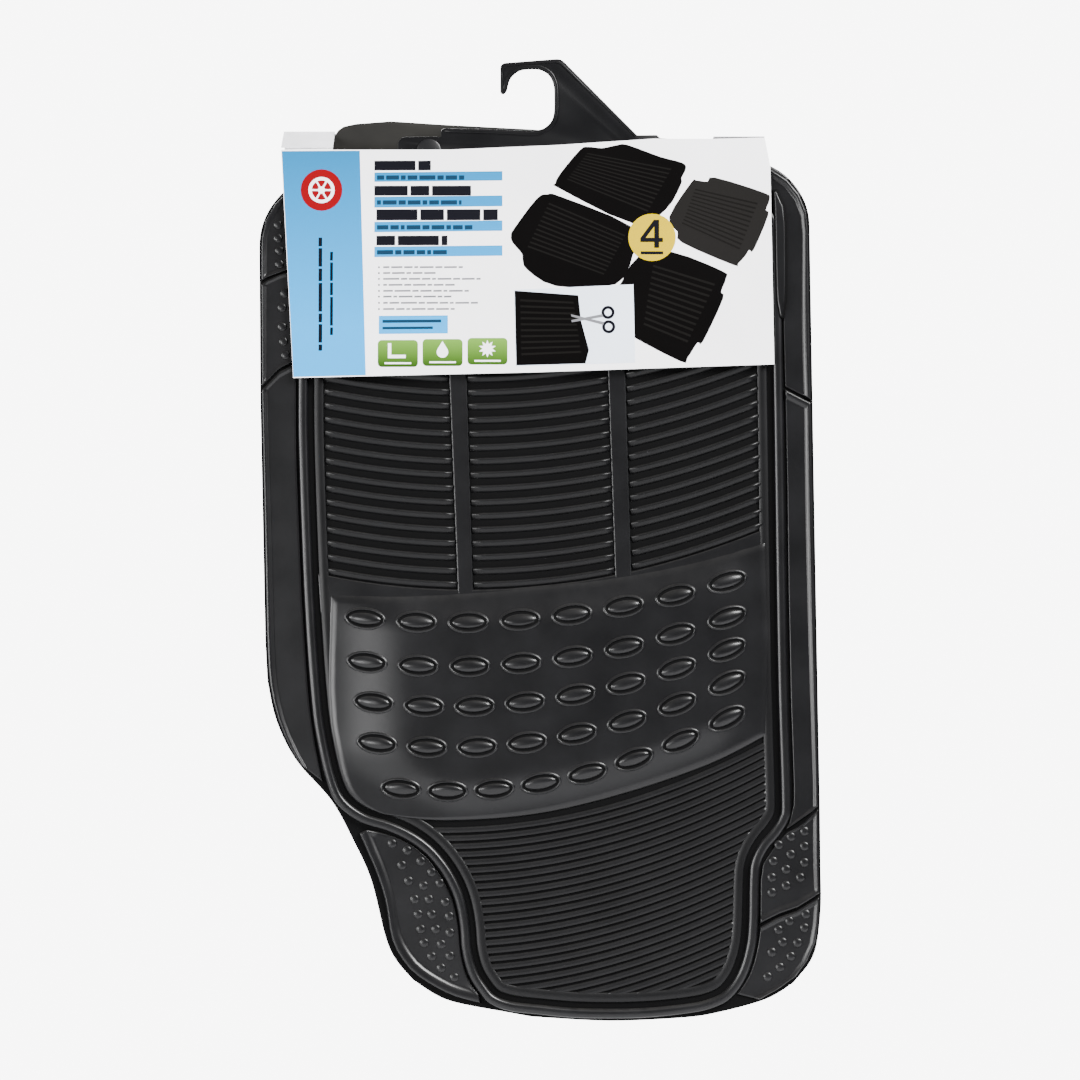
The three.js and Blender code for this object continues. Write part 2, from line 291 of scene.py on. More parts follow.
def append_object(bm, thing, material):
    """Adds an object's finished mesh to the bmesh with one material, its normals out."""
    view = bpy.context.evaluated_depsgraph_get()
    mesh = bpy.data.meshes.new_from_object(thing.evaluated_get(view))
    part = bmesh.new()
    part.from_mesh(mesh)
    bmesh.ops.remove_doubles(part, verts=part.verts, dist=0.0001)
    bmesh.ops.recalc_face_normals(part, faces=part.faces)
    for f in part.faces:
        f.material_index = material
        f.smooth = True
        if len(f.verts) > 4:
            for e in f.edges:
                e.smooth = False
    part.to_mesh(mesh)
    part.free()
    bm.from_mesh(mesh)
    bpy.data.meshes.remove(mesh)


def mirrored(half):
    """A whole bead section from its left half."""
    return (*half, *((-x, y) for x, y in reversed(half)))


# bead sections, as shares of a bead's width and height
ROUND = mirrored(((-0.5, 0.0), (-0.46, 0.42), (-0.34, 0.8), (-0.16, 0.97)))
RIM = mirrored(((-0.5, 0), (-0.47, 0.55), (-0.36, 0.9), (-0.2, 1)))
FLAT = mirrored(((-0.5, 0.0), (-0.47, 0.7), (-0.38, 1.0)))
RIDGE = ((-0.5, 0.0), (-0.3, 0.85), (0.0, 1.0), (0.3, 0.85), (0.5, 0.0))
TREAD = ((-0.5, 0.0), (-0.46, 0.6), (-0.38, 0.92), (-0.28, 1.0), (-0.16, 0.93), (0.12, 0.55), (0.5, 0.0))


def beads(bm, lines, width, height, closed=False, taper=0.0, form=ROUND, foot=0.5, material=RUBBER):
    """Raised beads of one section along lines; open ones taper over their last stretch."""
    section = bpy.data.curves.new("bead_section", "CURVE")
    section.dimensions = "2D"
    outline = section.splines.new("POLY")
    shape = [(x * width, y * height) for x, y in form]
    shape = [(shape[0][0], -foot)] + shape + [(shape[-1][0], -foot)]
    outline.points.add(len(shape) - 1)
    for point, (x, y) in zip(outline.points, shape):
        point.co = (x, y, 0, 1)
    outline.use_cyclic_u = True
    section_object = bpy.data.objects.new("bead_section", section)
    curve = bpy.data.curves.new("beads", "CURVE")
    curve.dimensions = "2D"
    curve.fill_mode = "NONE"
    curve.bevel_mode = "OBJECT"
    curve.bevel_object = section_object
    curve.use_fill_caps = not closed
    for line in lines:
        spline = curve.splines.new("POLY")
        spline.points.add(len(line) - 1)
        spline.use_cyclic_u = closed
        reach = Line(line)
        for point, p, gone in zip(spline.points, line, reach.reach):
            point.co = (p[0], p[1], 0, 1)
            ends = min(gone, reach.length - gone)
            point.radius = 0.35 + 0.65 * roll(ends / taper) if taper else 1.0
    holder = bpy.data.objects.new("beads", curve)
    for thing in (section_object, holder):
        bpy.context.scene.collection.objects.link(thing)
    bpy.context.view_layer.update()
    append_object(bm, holder, material)
    for thing in (holder, section_object):
        bpy.data.objects.remove(thing)
    for data in (curve, section):
        bpy.data.curves.remove(data)


def ring_form(name, rings, segments):
    """A closed form of oval rings, from its foot to its top: (half x, half y, z, material)."""
    form = bmesh.new()
    turn_of = form.verts.layers.float.new("turn")
    made = bmesh.ops.create_circle(form, segments=segments, radius=1.0)
    verts = made["verts"]
    loop = form.edges[:]
    for v in verts:
        v[turn_of] = math.atan2(v.co.y, v.co.x)
    for number, (half_x, half_y, z, material) in enumerate(rings):
        if number:
            made = bmesh.ops.extrude_edge_only(form, edges=loop)["geom"]
            verts = [g for g in made if isinstance(g, bmesh.types.BMVert)]
            new = set(verts)
            loop = [e for e in made if isinstance(e, bmesh.types.BMEdge) and new.issuperset(e.verts)]
            for f in made:
                if isinstance(f, bmesh.types.BMFace):
                    f.material_index = material
        for v in verts:
            v.co = Vector((half_x * math.cos(v[turn_of]), half_y * math.sin(v[turn_of]), z))
    bmesh.ops.holes_fill(form, edges=[e for e in form.edges if e.is_boundary], sides=0)
    bmesh.ops.recalc_face_normals(form, faces=form.faces)
    for f in form.faces:
        f.smooth = True
    form.verts.layers.float.remove(turn_of)
    mesh = bpy.data.meshes.new(name)
    form.to_mesh(mesh)
    form.free()
    return mesh


def oval_form(length, width):
    """A lens in a moat painted near black as shade, with a raised lip round it."""
    x, y = length / 2, width / 2
    lip = ((0, -0.3), (0.4, 0.2), (1.0, 0.8), (1.5, 1.0), (1.9, 0.75), (2.1, 0.06))
    rings = [(x - q, y - q, z, RUBBER) for q, z in lip]
    # The moat sits just above the plateau, not sunk; it is painted near black as its shade.
    rings += [(x - 4.2, y - 4.2, 0.05, PAINTED_SHADE)]
    lens = ((0.97, 0.5), (0.84, 1.05), (0.52, 1.55), (0.2, 1.75))
    rings += [((x - 4.2) * k, (y - 4.2) * k, z, RUBBER) for k, z in lens]
    return ring_form("oval", rings, 24)


def dot_form(radius, height):
    """A shallow round pimple."""
    marks = ((1.0, -0.3), (0.97, 0.25), (0.8, 0.7), (0.45, 0.95), (0.12, 1.0))
    return ring_form("dot", [(radius * k, radius * k, height * z, RUBBER) for k, z in marks], 12)


def stamp(bm, form, centre, turn, height):
    """Adds a copy of a small form at a place on the mat."""
    copy = form.copy()
    copy.transform(Matrix.Translation((centre[0], centre[1], height)) @ Matrix.Rotation(turn, 4, "Z"))
    bm.from_mesh(copy)
    bpy.data.meshes.remove(copy)


def sheet(bm, sides, thickness, plain_above, across=84, down=130):
    """The rubber sheet: tread face at z 0, smooth face below, and a rounded edge; below plain_above the
    tread face is painted near black as shade.
    """
    sides = [s if isinstance(s, Line) else Line(s) for s in sides]
    shares = [[i / n for i in range(n + 1)] for n in (across, down)]
    verts = mapped_grid(bm, shares[0], shares[1], lambda s, t: patch_point(sides, s, t).to_3d())
    faces = list({f for v in verts for f in v.link_faces})
    for f in faces:
        # Tread face below plain_above is painted near black as the shade between the raised features.
        f.material_index = RUBBER if f.calc_center_median().y > plain_above else PAINTED_SHADE
    made = bmesh.ops.extrude_face_region(bm, geom=faces, use_keep_orig=True)["geom"]
    under = [g for g in made if isinstance(g, bmesh.types.BMVert)]
    bmesh.ops.translate(bm, verts=under, vec=(0, 0, -thickness))
    lower = {g for g in made if isinstance(g, bmesh.types.BMFace)}
    for f in lower:
        f.material_index = UNDERSIDE
    flats = set(faces) | lower
    walls = {f for v in under for f in v.link_faces} - flats
    for f in walls:
        f.material_index = RUBBER
    rims = {e for f in walls for e in f.edges if any(g in flats for g in e.link_faces)}
    bmesh.ops.recalc_face_normals(bm, faces=list(flats | walls))
    bmesh.ops.bevel(bm, geom=list(rims), offset=0.6, segments=2, profile=0.5, affect="EDGES", material=-1)
    for f in bm.faces:
        f.smooth = True


# ------------------------------------------------------------------ the front mat's pattern

FRONT_CROWNS = {
    "driver": [(-102, -68), (-92, -52), (92, -52), (104, -66)],
    "passenger": [
        (-150, -60), (-146.5, -51), (-141, -43.5), (-130, -41), (-103.6, -39),
        (-66, -41.5), (0, -45), (117, -53), (134, -56),
    ],
}
FRONT_BEAD = smooth(
    # the top left corner and down the left side
    [(-150, -99), (-162, -108), (-166, -130), (-167.6, -229), (-167.2, -285), (-163.2, -390), (-158, -464)]
    # in round the cut-away corner
    + [(-153.6, -495), (-147, -523), (-139, -539), (-123.5, -550.5), (-105, -556.4), (-89, -563.7)]
    + [(-75.7, -573.3), (-65.4, -585), (-58, -597), (-53, -609), (-50, -622), (-48.5, -634), (-47.8, -645)]
    # along the foot and up the right side
    + [(-45.6, -656), (-42, -666), (-36, -675.5), (-28.7, -683.6), (-15.4, -688.7), (6.6, -691.3)]
    + [(36, -693.8), (80, -693.8), (117, -690.2), (133, -686.5), (145, -680), (155, -666)]
    + [(161, -647.5), (163.2, -629), (163.9, -596), (165.4, -583), (171.3, -571), (179.3, -561.5)]
    + [(186, -550.5), (187.4, -537), (185.2, -464), (183.8, -389), (182.6, -302), (181.6, -234.5)]
    # back along the top
    + [(179.5, -130), (174, -106), (160, -95), (104, -93), (0, -93), (-104, -95)],
    closed=True,
    steps=4,
)
# each rib panel's left and right ends at y -229 and at y -375
PANELS = (
    ((-152.9, -60.3), (-149.9, -54.4)),
    ((-47, 56.6), (-42.6, 61.7)),
    ((69.8, 165.4), (74.2, 170.5)),
)
OVAL_BASES = (-406.5, -438.8, -468.2, -498.3, -530.3)
OVAL_STARTS = (-122, -120.5, -115.5, -113, -95.5)
LOW_LEFT_DOTS = (
    (-102, -569), (-91, -574), (-95, -585), (-81, -582), (-73, -590), (-90, -596.5), (-79, -600),
    (-67, -598), (-85.6, -610), (-75, -610), (-63, -612), (-83, -621), (-73, -621), (-60, -622.5),
    (-81, -632), (-70, -632), (-59.6, -634.5), (-78.6, -642), (-66, -643), (-73, -652),
    (-59.6, -651.6), (-66, -660.5), (-56.4, -667.4),
)
LEFT_DOTS = (
    (-186, -114), (-186, -124), (-185, -133), (-185, -143),
    (-181, -164.5), (-183, -175), (-183, -189), (-182, -200), (-180.4, -210),
)
RIGHT_DOTS = (
    (201, -560), (191, -564), (182, -570), (201, -571), (191, -577), (178, -582), (201, -583),
    (187.5, -588), (177, -594), (198, -594), (187.5, -600), (177, -605), (202, -621), (190, -626),
    (182, -632.5), (201, -631), (185, -641.5), (196, -642), (177, -649), (191, -652), (183, -660),
    (174, -667),
)


def front_outline(crown):
    """The sheet's four sides: top, right, bottom and left."""
    left = arc((-148.9, -129.1), 51, 135, 180, 8) + [(-199.2, -243), (-195.5, -420)]
    left += smooth(
        [(-194, -449), (-187.4, -478.5), (-172.7, -508), (-147, -537.3), (-130.8, -566.7), (-117.6, -596)]
        + [(-107, -638), (-99.2, -655), (-86.7, -669.6)]
    )
    bottom = smooth([(-86.7, -669.6), (-61.7, -684.3), (-22, -692.5)], steps=6)
    bottom += smooth(
        [(0, -696.5), (57, -699.6), (112, -697.3), (138, -693.4)]
        + [(169.8, -684.8), (186.4, -676.2), (194, -669.4)],
        steps=6,
    )
    right = arc((158, -115), 47, 45, 0, 8) + [(208.7, -330), (212.4, -537)]
    right += smooth([(213, -590), (213.2, -615), (210, -644), (203.5, -659), (194, -669.4)])
    top = arc((-148.9, -129.1), 51, 135, 90, 8) + crown + arc((158, -115), 47, 90, 45, 8)
    return [Line(top), Line(right), Line(bottom), Line(left)]


def panel_limits(panel, y):
    """Where a rib panel starts and stops at a height."""
    (a, b), (c, d) = panel
    share = (-229 - y) / 146
    return a + (c - a) * share, b + (d - b) * share


def sweep_of(x, centre, base, radius):
    """The height of a shallow bow, lowest at its centre."""
    return base + (x - centre) ** 2 / (2 * radius)


def runs(line, keep, ends=0):
    """The stretches of a line whose points pass a test, with some points more at each end."""
    passed = [keep(p) for p in line]
    found, run = [], []
    for i, p in enumerate(line):
        if any(passed[max(0, i - ends):i + ends + 1]):
            run.append(p)
        elif run:
            found.append(run)
            run = []
    if run:
        found.append(run)
    return [r for r in found if len(r) > 2]


def upper_ribs(bm):
    """The wide bowed ribs in their three panels, with the plain strips between and below them."""
    strip = {"edge": 0.9, "step": 16}
    for before, after, foot in ((0, 1, -388), (1, 2, -376)):
        heights = (-103, -229, -300, foot)
        low = [(panel_limits(PANELS[before], y)[1], y) for y in heights]
        high = [(panel_limits(PANELS[after], y)[0], y) for y in heights]
        pad(bm, [[low[0], high[0]], high, [low[-1], high[-1]], low], DIVIDER_HEIGHT, **strip)
    under = [Vector((x, sweep_of(x, RIB_CENTRE, -382.6, RIB_BOW))) for x in range(-157, 178, 6)]
    low_left, low_right = (-155, -400), (176, -400)
    sides = [under, [under[-1], low_right], [low_left, low_right], [under[0], low_left]]
    pad(bm, sides, DIVIDER_HEIGHT, **strip)

    ribs = []
    for row in range(28):
        base = -379.3 + RIB_PITCH * row
        for panel in PANELS:
            low, high = panel_limits(panel, sweep_of(-30, RIB_CENTRE, base, RIB_BOW))
            across = [low + 0.5 + (high - low - 1) * k / 14 for k in range(15)]
            line = [Vector((x, sweep_of(x, RIB_CENTRE, base, RIB_BOW))) for x in across]
            ribs += runs(line, lambda p: p.y < -104)
    # The ribs take the copy of the rubber painted a little darker as shade.
    beads(bm, ribs, RIB_WIDTH, RIB_HEIGHT, form=TREAD, material=RIB_SHADE)


def plateau(bm):
    """The raised field of ovals under the ribs; its lower left corner follows the rim."""
    hug = [p for p in inset_of(FRONT_BEAD, 7.2) if p.x < -102 and -549 < p.y < -474]
    top = smooth(
        [
            (-148.5, -385), (-96, -386), (-44.8, -383.6), (10, -379), (65.4, -371.9), (120, -361),
            (173.5, -346.2)
        ],
        steps=4,
    )
    right = [(173.5, -346.2), (176, -420), (173.5, -490)]
    bottom = smooth(
        [hug[-1], (-65.4, -552.7), (1.5, -548.3), (66, -533.6), (130.8, -511.6), (173.5, -490)],
        steps=5,
    )
    left = [(-148.5, -385), (-149.3, -410), (-150, -430), (-150.3, -455)] + hug
    pad(bm, [top, right, bottom, left], PLATEAU_HEIGHT, edge=6.5, step=5)

    oval = oval_form(OVAL_LENGTH, OVAL_WIDTH)
    for row, (base, start) in enumerate(zip(OVAL_BASES, OVAL_STARTS)):
        curve = 0.00072 + 0.00014 * row
        for k in range(8):
            x = start + (144 - start) * k / 7
            slope = 2 * curve * (x + 60)
            stamp(bm, oval, (x, base + curve * (x + 60) ** 2), math.atan(slope), PLATEAU_HEIGHT)
    bpy.data.meshes.remove(oval)


def fine_ribs(bm):
    """The narrow ribs below the plateau; their ends run in under the flat band."""
    field = inset_of(FRONT_BEAD, 13.2)
    lines = []
    for row in range(26):
        base = -559.4 - FINE_PITCH * row
        line = [Vector((x, sweep_of(x, FINE_CENTRE, base, FINE_BOW))) for x in range(-150, 190, 3)]
        lines += runs(line, lambda p: inside(p, field), ends=1)
    # The fine ribs take the copy of the rubber painted a little darker as shade.
    beads(bm, lines, FINE_WIDTH, FINE_HEIGHT, form=FLAT, material=RIB_SHADE)


def front_pattern(bm):
    """The moulded tread of a front mat."""
    band = inset_of(FRONT_BEAD, BAND_INSET)
    beads(bm, [FRONT_BEAD], RIM_WIDTH, RIM_HEIGHT, closed=True, form=RIM)
    # The band, like the ribs, takes the copy of the rubber painted a little darker as shade.
    beads(bm, [band], BAND_WIDTH, BAND_HEIGHT, closed=True, form=FLAT, material=RIB_SHADE)
    upper_ribs(bm)
    plateau(bm)
    fine_ribs(bm)


SEAM_LEFT = Line(
    [(-150, -93.5), (-161.5, -100), (-169, -109), (-171.6, -130), (-172.4, -229), (-172.2, -285)]
    + [(-168, -390), (-163, -464), (-158.5, -495), (-154, -520), (-152, -528)]
)
SEAM_RIGHT = Line(
    [(162, -90), (174, -97), (181.5, -107), (184.4, -124), (185.2, -190), (186.4, -234), (187.8, -302)]
    + [(188.8, -389), (190.4, -464), (193, -537), (191.5, -551), (186, -560)]
)


def left_wings(bm, edge, look):
    """The three panels down the left side and the dotted one in the cut-away corner."""
    outer_edge = Line(arc((-148.9, -129.1), 49.8, 92, 134, 6) + offset(edge.points, -1.2))
    panels = (
        # outer and inner heights at the top and the foot, the dividers' bends, the lips
        ((-79.4, -93.6), (-156.3, -145.2), [], [(-189.3, -150.3)], (0, 0, 3.2, 4.6)),
        (
            (-158.1, -147), (-233.6, -213.8), [(-189.3, -152)], [(-190.7, -226.2), (-183.8, -219.2)],
            (3.2, 0, 3.2, 4.6),
        ),
        ((-235.4, -215.6), (-512, -524), [(-190.7, -228), (-183.8, -221)], [], (4.6, 0, 0, 5.6)),
    )
    for top, foot, divider, low_divider, lips in panels:
        outer = outer_edge.down(top[0], foot[0])
        inner = SEAM_LEFT.down(top[1], foot[1])
        upper = Line([outer.at(0)] + divider + [inner.at(0)])
        lower = Line([outer.at(1)] + low_divider + [inner.at(1)])
        pad(bm, [upper, inner, lower, outer], lips=lips, **look)

    inner = offset(
        smooth(
            [(-120, -557.5), (-105, -561), (-89, -567.5), (-77, -576.5), (-67.5, -588), (-60.5, -600)]
            + [(-55.8, -611), (-52.9, -623), (-51.4, -634.5), (-50.7, -645), (-48.5, -657), (-44.8, -668)]
            + [(-37.5, -679)],
            steps=4,
        ),
        1.2,
    )
    outer = smooth(
        [(-126.5, -561.5), (-120.5, -575), (-114, -590), (-107.3, -611), (-102.8, -638), (-95.6, -653)]
        + [(-84, -666), (-60, -680), (-37, -686.5)],
        steps=5,
    )
    sides = [[outer[0], inner[0]], inner, [outer[-1], inner[-1]], outer]
    pad(bm, sides, **{**look, "step": 8}, lips=(0, 0, 0, 8.2))


def right_wings(bm, edge, look):
    """The four panels down the right side."""
    outer_edge = Line(arc((158, -115), 45.8, 88, 46, 6) + offset(edge.points, 1.2))
    bend = smooth(
        [(188, -561), (181.5, -568.5), (174, -578), (168.7, -588), (168.3, -605), (168, -628.3)], steps=4
    )
    step = [(175, -625), (182.4, -621.1), (192.6, -618.1), (202.7, -613.1)]
    panels = (
        # inner side, outer heights at the top and the foot, the dividers' bends, the lips
        (SEAM_RIGHT.down(-90.1, -233.2), (-69.4, -243.2), [], [(196, -238.2)], (0, 5.6, 0, 0)),
        (
            SEAM_RIGHT.down(-235, -558.8), (-245, -541.2), [(196, -240)], [
                (195, -556.1), (202.7, -550.1)
            ],
            (6.5, 5.6, 4, 0),
        ),
        (Line(bend), (-543.1, -605.6), [(195, -558), (202.7, -552)], step, (3.4, 4.6, 5.4, 0)),
    )
    for inner, heights, divider, low_divider, lips in panels:
        outer = outer_edge.down(*heights)
        upper = Line([inner.at(0)] + divider + [outer.at(0)])
        lower = Line([inner.at(1)] + low_divider + [outer.at(1)])
        pad(bm, [upper, outer, lower, inner], lips=lips, **look)

    inner = Line(smooth([(168.3, -630.6), (165.6, -648), (160, -666), (151, -680)], steps=4))
    outer = smooth([(212, -607.6), (211.9, -618), (208.6, -643), (194.5, -667), (168, -684)], steps=5)
    upper = [inner.at(0), (175, -627), (182.4, -623), (192.6, -620), (202.7, -615), outer[0]]
    pad(bm, [upper, outer, [inner.at(1), outer[-1]], inner], lips=(3.4, 4.6, 0, 0), **look)


def tongue(bm):
    """The narrow loop at the right shoulder, raised in a surround painted near black as shade."""
    left = smooth([(178, -90), (178.9, -110), (179.6, -150), (180.6, -174), (183, -182.4)], steps=4)
    right = smooth(
        [(180, -89), (185, -98), (187, -112), (187.4, -150), (187, -172), (185, -182.4)], steps=4
    )
    # The lower, wider pad is the surround, painted near black as shade round the loop.
    for height, grow, material in ((4.2, 1.3, PAINTED_SHADE), (4.9, 0.0, RUBBER)):
        low = [p + Vector((-grow, 0)) for p in left]
        high = [p + Vector((grow, 0)) for p in right]
        for line in (low, high):
            line.insert(0, line[0] + Vector((0, grow)))
            line.append(line[-1] - Vector((0, grow)))
        sides = [[low[0], high[0]], high, [low[-1], high[-1]], low]
        pad(bm, sides, height, edge=1.2, step=12, material=material)


def front_wings(bm, sides):
    """The raised wings outside the rim, with their lips, dividers and dots."""
    look = {"height": WING_HEIGHT, "edge": 1.3, "lip_height": 1.7, "step": 14}
    left_wings(bm, sides[3], look)
    right_wings(bm, sides[1], look)
    tongue(bm)
    dot = dot_form(3.5, 1.0)
    for places in (LOW_LEFT_DOTS, LEFT_DOTS, RIGHT_DOTS):
        for place in places:
            stamp(bm, dot, place, 0, WING_HEIGHT)
    bpy.data.meshes.remove(dot)


def front_mat(bm, crown):
    """A front-seat mat, lying flat."""
    sides = front_outline(FRONT_CROWNS[crown])
    sheet(bm, sides, SHEET, -90)
    front_pattern(bm)
    front_wings(bm, sides)


# ------------------------------------------------------------------ the rear mats' pattern


def rear_mat(bm):
    """The simpler tread of a rear mat: ribs above and below a raised field."""
    left = arc((-154, -116), 36, 135, 180, 6) + [(-186, -433)] + arc((-116, -433), 70, 180, 225, 6)
    notch = [(-60, -503), (-54, -496), (70, -496), (76, -503)]
    bottom = arc((-116, -433), 70, 225, 270, 6) + notch + arc((150, -455), 48, -90, -45, 6)
    right = arc((160, -118), 38, 45, 0, 6) + [(198, -455)] + arc((150, -455), 48, 0, -45, 6)
    tab = [(-98, -80), (-90, -52), (90, -52), (98, -80)]
    top = arc((-154, -116), 36, 135, 90, 6) + tab + arc((160, -118), 38, 90, 45, 6)
    sheet(bm, [top, right, bottom, left], SHEET, -94, 60, 80)

    rim = arc((-130, -126), 30, 90, 180, 6) + [Vector((-160, -300))] + arc((-110, -424), 50, 180, 270, 8)
    rim += [Vector((0, -474))] + arc((130, -432), 42, 270, 360, 8)
    rim += [Vector((172, -300))] + arc((142, -126), 30, 0, 90, 6)
    beads(bm, [rim], RIM_WIDTH, RIM_HEIGHT, closed=True)
    beads(bm, [offset(rim, -10.4, closed=True)], 6.0, 1.3, closed=True, form=FLAT)
    beads(bm, [offset(rim, 11.5, closed=True)], 5.0, 1.6, closed=True)
    field = offset(rim, -14.6, closed=True)
    lines = []
    for row in range(40):
        line = [Vector((x, sweep_of(x, 4, -470 + RIB_PITCH * row, 900))) for x in range(-160, 174, 6)]
        lines += runs(line, lambda p: inside(p, field) and not (-412 < p.y < -280))
    beads(bm, lines, 3.6, 1.8, form=RIDGE)

    corners = [(-143, -284), (156, -284), (156, -408), (-140, -408)]
    top_left, top_right, low_right, low_left = corners
    sides = [[top_left, top_right], [top_right, low_right], [low_left, low_right], [top_left, low_left]]
    pad(bm, sides, PLATEAU_HEIGHT, edge=4, step=14)
    oval = oval_form(OVAL_LENGTH, OVAL_WIDTH)
    for row in range(4):
        for k in range(8):
            stamp(bm, oval, (-118 + 35.6 * k, -300 - 30.6 * row), 0, PLATEAU_HEIGHT)
    bpy.data.meshes.remove(oval)


# ------------------------------------------------------------------ standing a mat in the frame

MATS = {
    "driver": {"tread": 1.8, "face": -1, "rise": 0.0, "wave": 2.2, "pillow": True},
    "rear_left": {"tread": 8.8, "face": -1, "rise": 0.0, "wave": 0.5, "pillow": False},
    "rear_right": {"tread": 13.8, "face": 1, "rise": 0.0, "wave": 0.5, "pillow": False},
    "passenger": {"tread": 20.8, "face": 1, "rise": 3.0, "wave": 2.2, "pillow": True},
}


def sway(x, y, amount):
    """How far a hanging mat stands off its flat place: nothing at the hanger, more at the hem."""
    down = between(-y, 230, 640)
    curl = 0.5 - 0.5 * math.cos((x + 40) / 62.0 + y / 190.0)
    side = between(abs(x), 120, 215)
    return amount * down * (0.35 + 0.4 * curl + 0.25 * side)


def pillow(x, y):
    """How far the front mat's plateau swells, softest along its left side."""
    left = x + 150 - 50 * between(-y, 495, 548)
    right = 174 - x
    above = sweep_of(x, RIB_CENTRE, -384, RIB_BOW) - y
    below = y - sweep_of(x, FINE_CENTRE, -552, FINE_BOW)
    if min(left, right, above, below) <= 0:
        return 0.0
    return PLATEAU_SWELL * ease(left / 62) * ease(right / 45) * ease(above / 30) * ease(below / 34)


def stand_up(bm, look):
    """Turns the flat mat into its place in the frame and waves it outwards a little."""
    face, tread = look["face"], look["tread"]
    for v in bm.verts:
        x, y, z = v.co
        if look["pillow"] and z > -0.4:
            z += pillow(x, y)
        out = tread + face * (z + sway(x, y, look["wave"]))
        v.co = Vector((x, out, y + look["rise"])) * MM
    if face > 0:
        bmesh.ops.reverse_faces(bm, faces=bm.faces)


# ------------------------------------------------------------------ finishes


def srgb(red, green, blue):
    """A linear colour from 0-255 screen values."""
    parts = [c / 255 for c in (red, green, blue)]
    return tuple(c / 12.92 if c <= 0.04045 else ((c + 0.055) / 1.055) ** 2.4 for c in parts) + (1.0,)


def new_group(name, inputs, outputs):
    """A shader node group with float inputs and the given outputs."""
    group = bpy.data.node_groups.new(name, "ShaderNodeTree")
    for label, value in inputs:
        socket = group.interface.new_socket(label, in_out="INPUT", socket_type="NodeSocketFloat")
        socket.default_value = value
    for label, kind in outputs:
        group.interface.new_socket(label, in_out="OUTPUT", socket_type=kind)
    return group, group.nodes.new("NodeGroupInput"), group.nodes.new("NodeGroupOutput")


def mould_grain():
    """Fine moulded or pressed grain: a height for bump and a slow mottle from 0 to 1."""
    if "mould_grain" in bpy.data.node_groups:
        return bpy.data.node_groups["mould_grain"]
    outputs = (("Height", "NodeSocketFloat"), ("Mottle", "NodeSocketFloat"))
    group, start, end = new_group(
        "mould_grain", (("Grain Scale", 1800.0), ("Mottle Scale", 30.0)), outputs
    )
    place = group.nodes.new("ShaderNodeTexCoord")
    for label, scale, detail in (("Height", "Grain Scale", 2.0), ("Mottle", "Mottle Scale", 4.0)):
        texture = group.nodes.new("ShaderNodeTexNoise")
        texture.inputs["Detail"].default_value = detail
        group.links.new(place.outputs["Object"], texture.inputs["Vector"])
        group.links.new(start.outputs[scale], texture.inputs["Scale"])
        group.links.new(texture.outputs["Fac"], end.inputs[label])
    return group


def settled_dust():
    """Where pale dust settles: on faces that look up, broken by noise."""
    if "settled_dust" in bpy.data.node_groups:
        return bpy.data.node_groups["settled_dust"]
    group, start, end = new_group("settled_dust", (("Amount", 0.1),), (("Mask", "NodeSocketFloat"),))
    place = group.nodes.new("ShaderNodeTexCoord")
    texture = group.nodes.new("ShaderNodeTexNoise")
    texture.inputs["Scale"].default_value = 160.0
    texture.inputs["Detail"].default_value = 5.0
    group.links.new(place.outputs["Object"], texture.inputs["Vector"])
    surface = group.nodes.new("ShaderNodeNewGeometry")
    parts = group.nodes.new("ShaderNodeSeparateXYZ")
    group.links.new(surface.outputs["Normal"], parts.inputs["Vector"])
    upward = group.nodes.new("ShaderNodeMapRange")
    upward.inputs["From Min"].default_value = 0.1
    upward.inputs["From Max"].default_value = 1.0
    group.links.new(parts.outputs["Z"], upward.inputs["Value"])
    product = texture.outputs["Fac"]
    for factor in (upward.outputs["Result"], start.outputs["Amount"]):
        times = group.nodes.new("ShaderNodeMath")
        times.operation = "MULTIPLY"
        group.links.new(product, times.inputs[0])
        group.links.new(factor, times.inputs[1])
        product = times.outputs["Value"]
    group.links.new(product, end.inputs["Mask"])
    return group


def finish_material(name, dark, light, rough, grain=1800.0, bump=0.1, mottle=30.0, dust=0.0, **sockets):
    """A Principled finish that mottles between two colours and two roughnesses, with fine grain."""
    if name in bpy.data.materials:
        return bpy.data.materials[name]
    material = bpy.data.materials.new(name)
    material.use_nodes = True
    nodes, links = material.node_tree.nodes, material.node_tree.links
    shader = nodes["Principled BSDF"]
    texture = nodes.new("ShaderNodeGroup")
    texture.node_tree = mould_grain()
    texture.inputs["Grain Scale"].default_value = grain
    texture.inputs["Mottle Scale"].default_value = mottle
    colours = nodes.new("ShaderNodeValToRGB")
    colours.color_ramp.elements[0].position = 0.32
    colours.color_ramp.elements[0].color = dark
    colours.color_ramp.elements[1].position = 0.68
    colours.color_ramp.elements[1].color = light
    links.new(texture.outputs["Mottle"], colours.inputs["Fac"])
    colour = colours.outputs["Color"]
    if dust:
        settled = nodes.new("ShaderNodeGroup")
        settled.node_tree = settled_dust()
        settled.inputs["Amount"].default_value = dust
        mix = nodes.new("ShaderNodeMix")
        mix.data_type = "RGBA"
        links.new(settled.outputs["Mask"], mix.inputs["Factor"])
        links.new(colour, mix.inputs["A"])
        mix.inputs["B"].default_value = srgb(150, 147, 142)
        colour = mix.outputs["Result"]
    links.new(colour, shader.inputs["Base Color"])
    roughness = nodes.new("ShaderNodeMapRange")
    roughness.inputs["To Min"].default_value = rough[0]
    roughness.inputs["To Max"].default_value = rough[1]
    links.new(texture.outputs["Mottle"], roughness.inputs["Value"])
    links.new(roughness.outputs["Result"], shader.inputs["Roughness"])
    relief = nodes.new("ShaderNodeBump")
    relief.inputs["Strength"].default_value = bump
    relief.inputs["Distance"].default_value = 0.00004
    links.new(texture.outputs["Height"], relief.inputs["Height"])
    links.new(relief.outputs["Normal"], shader.inputs["Normal"])
    for label, value in sockets.items():
        shader.inputs[label.replace("_", " ")].default_value = value
    return material


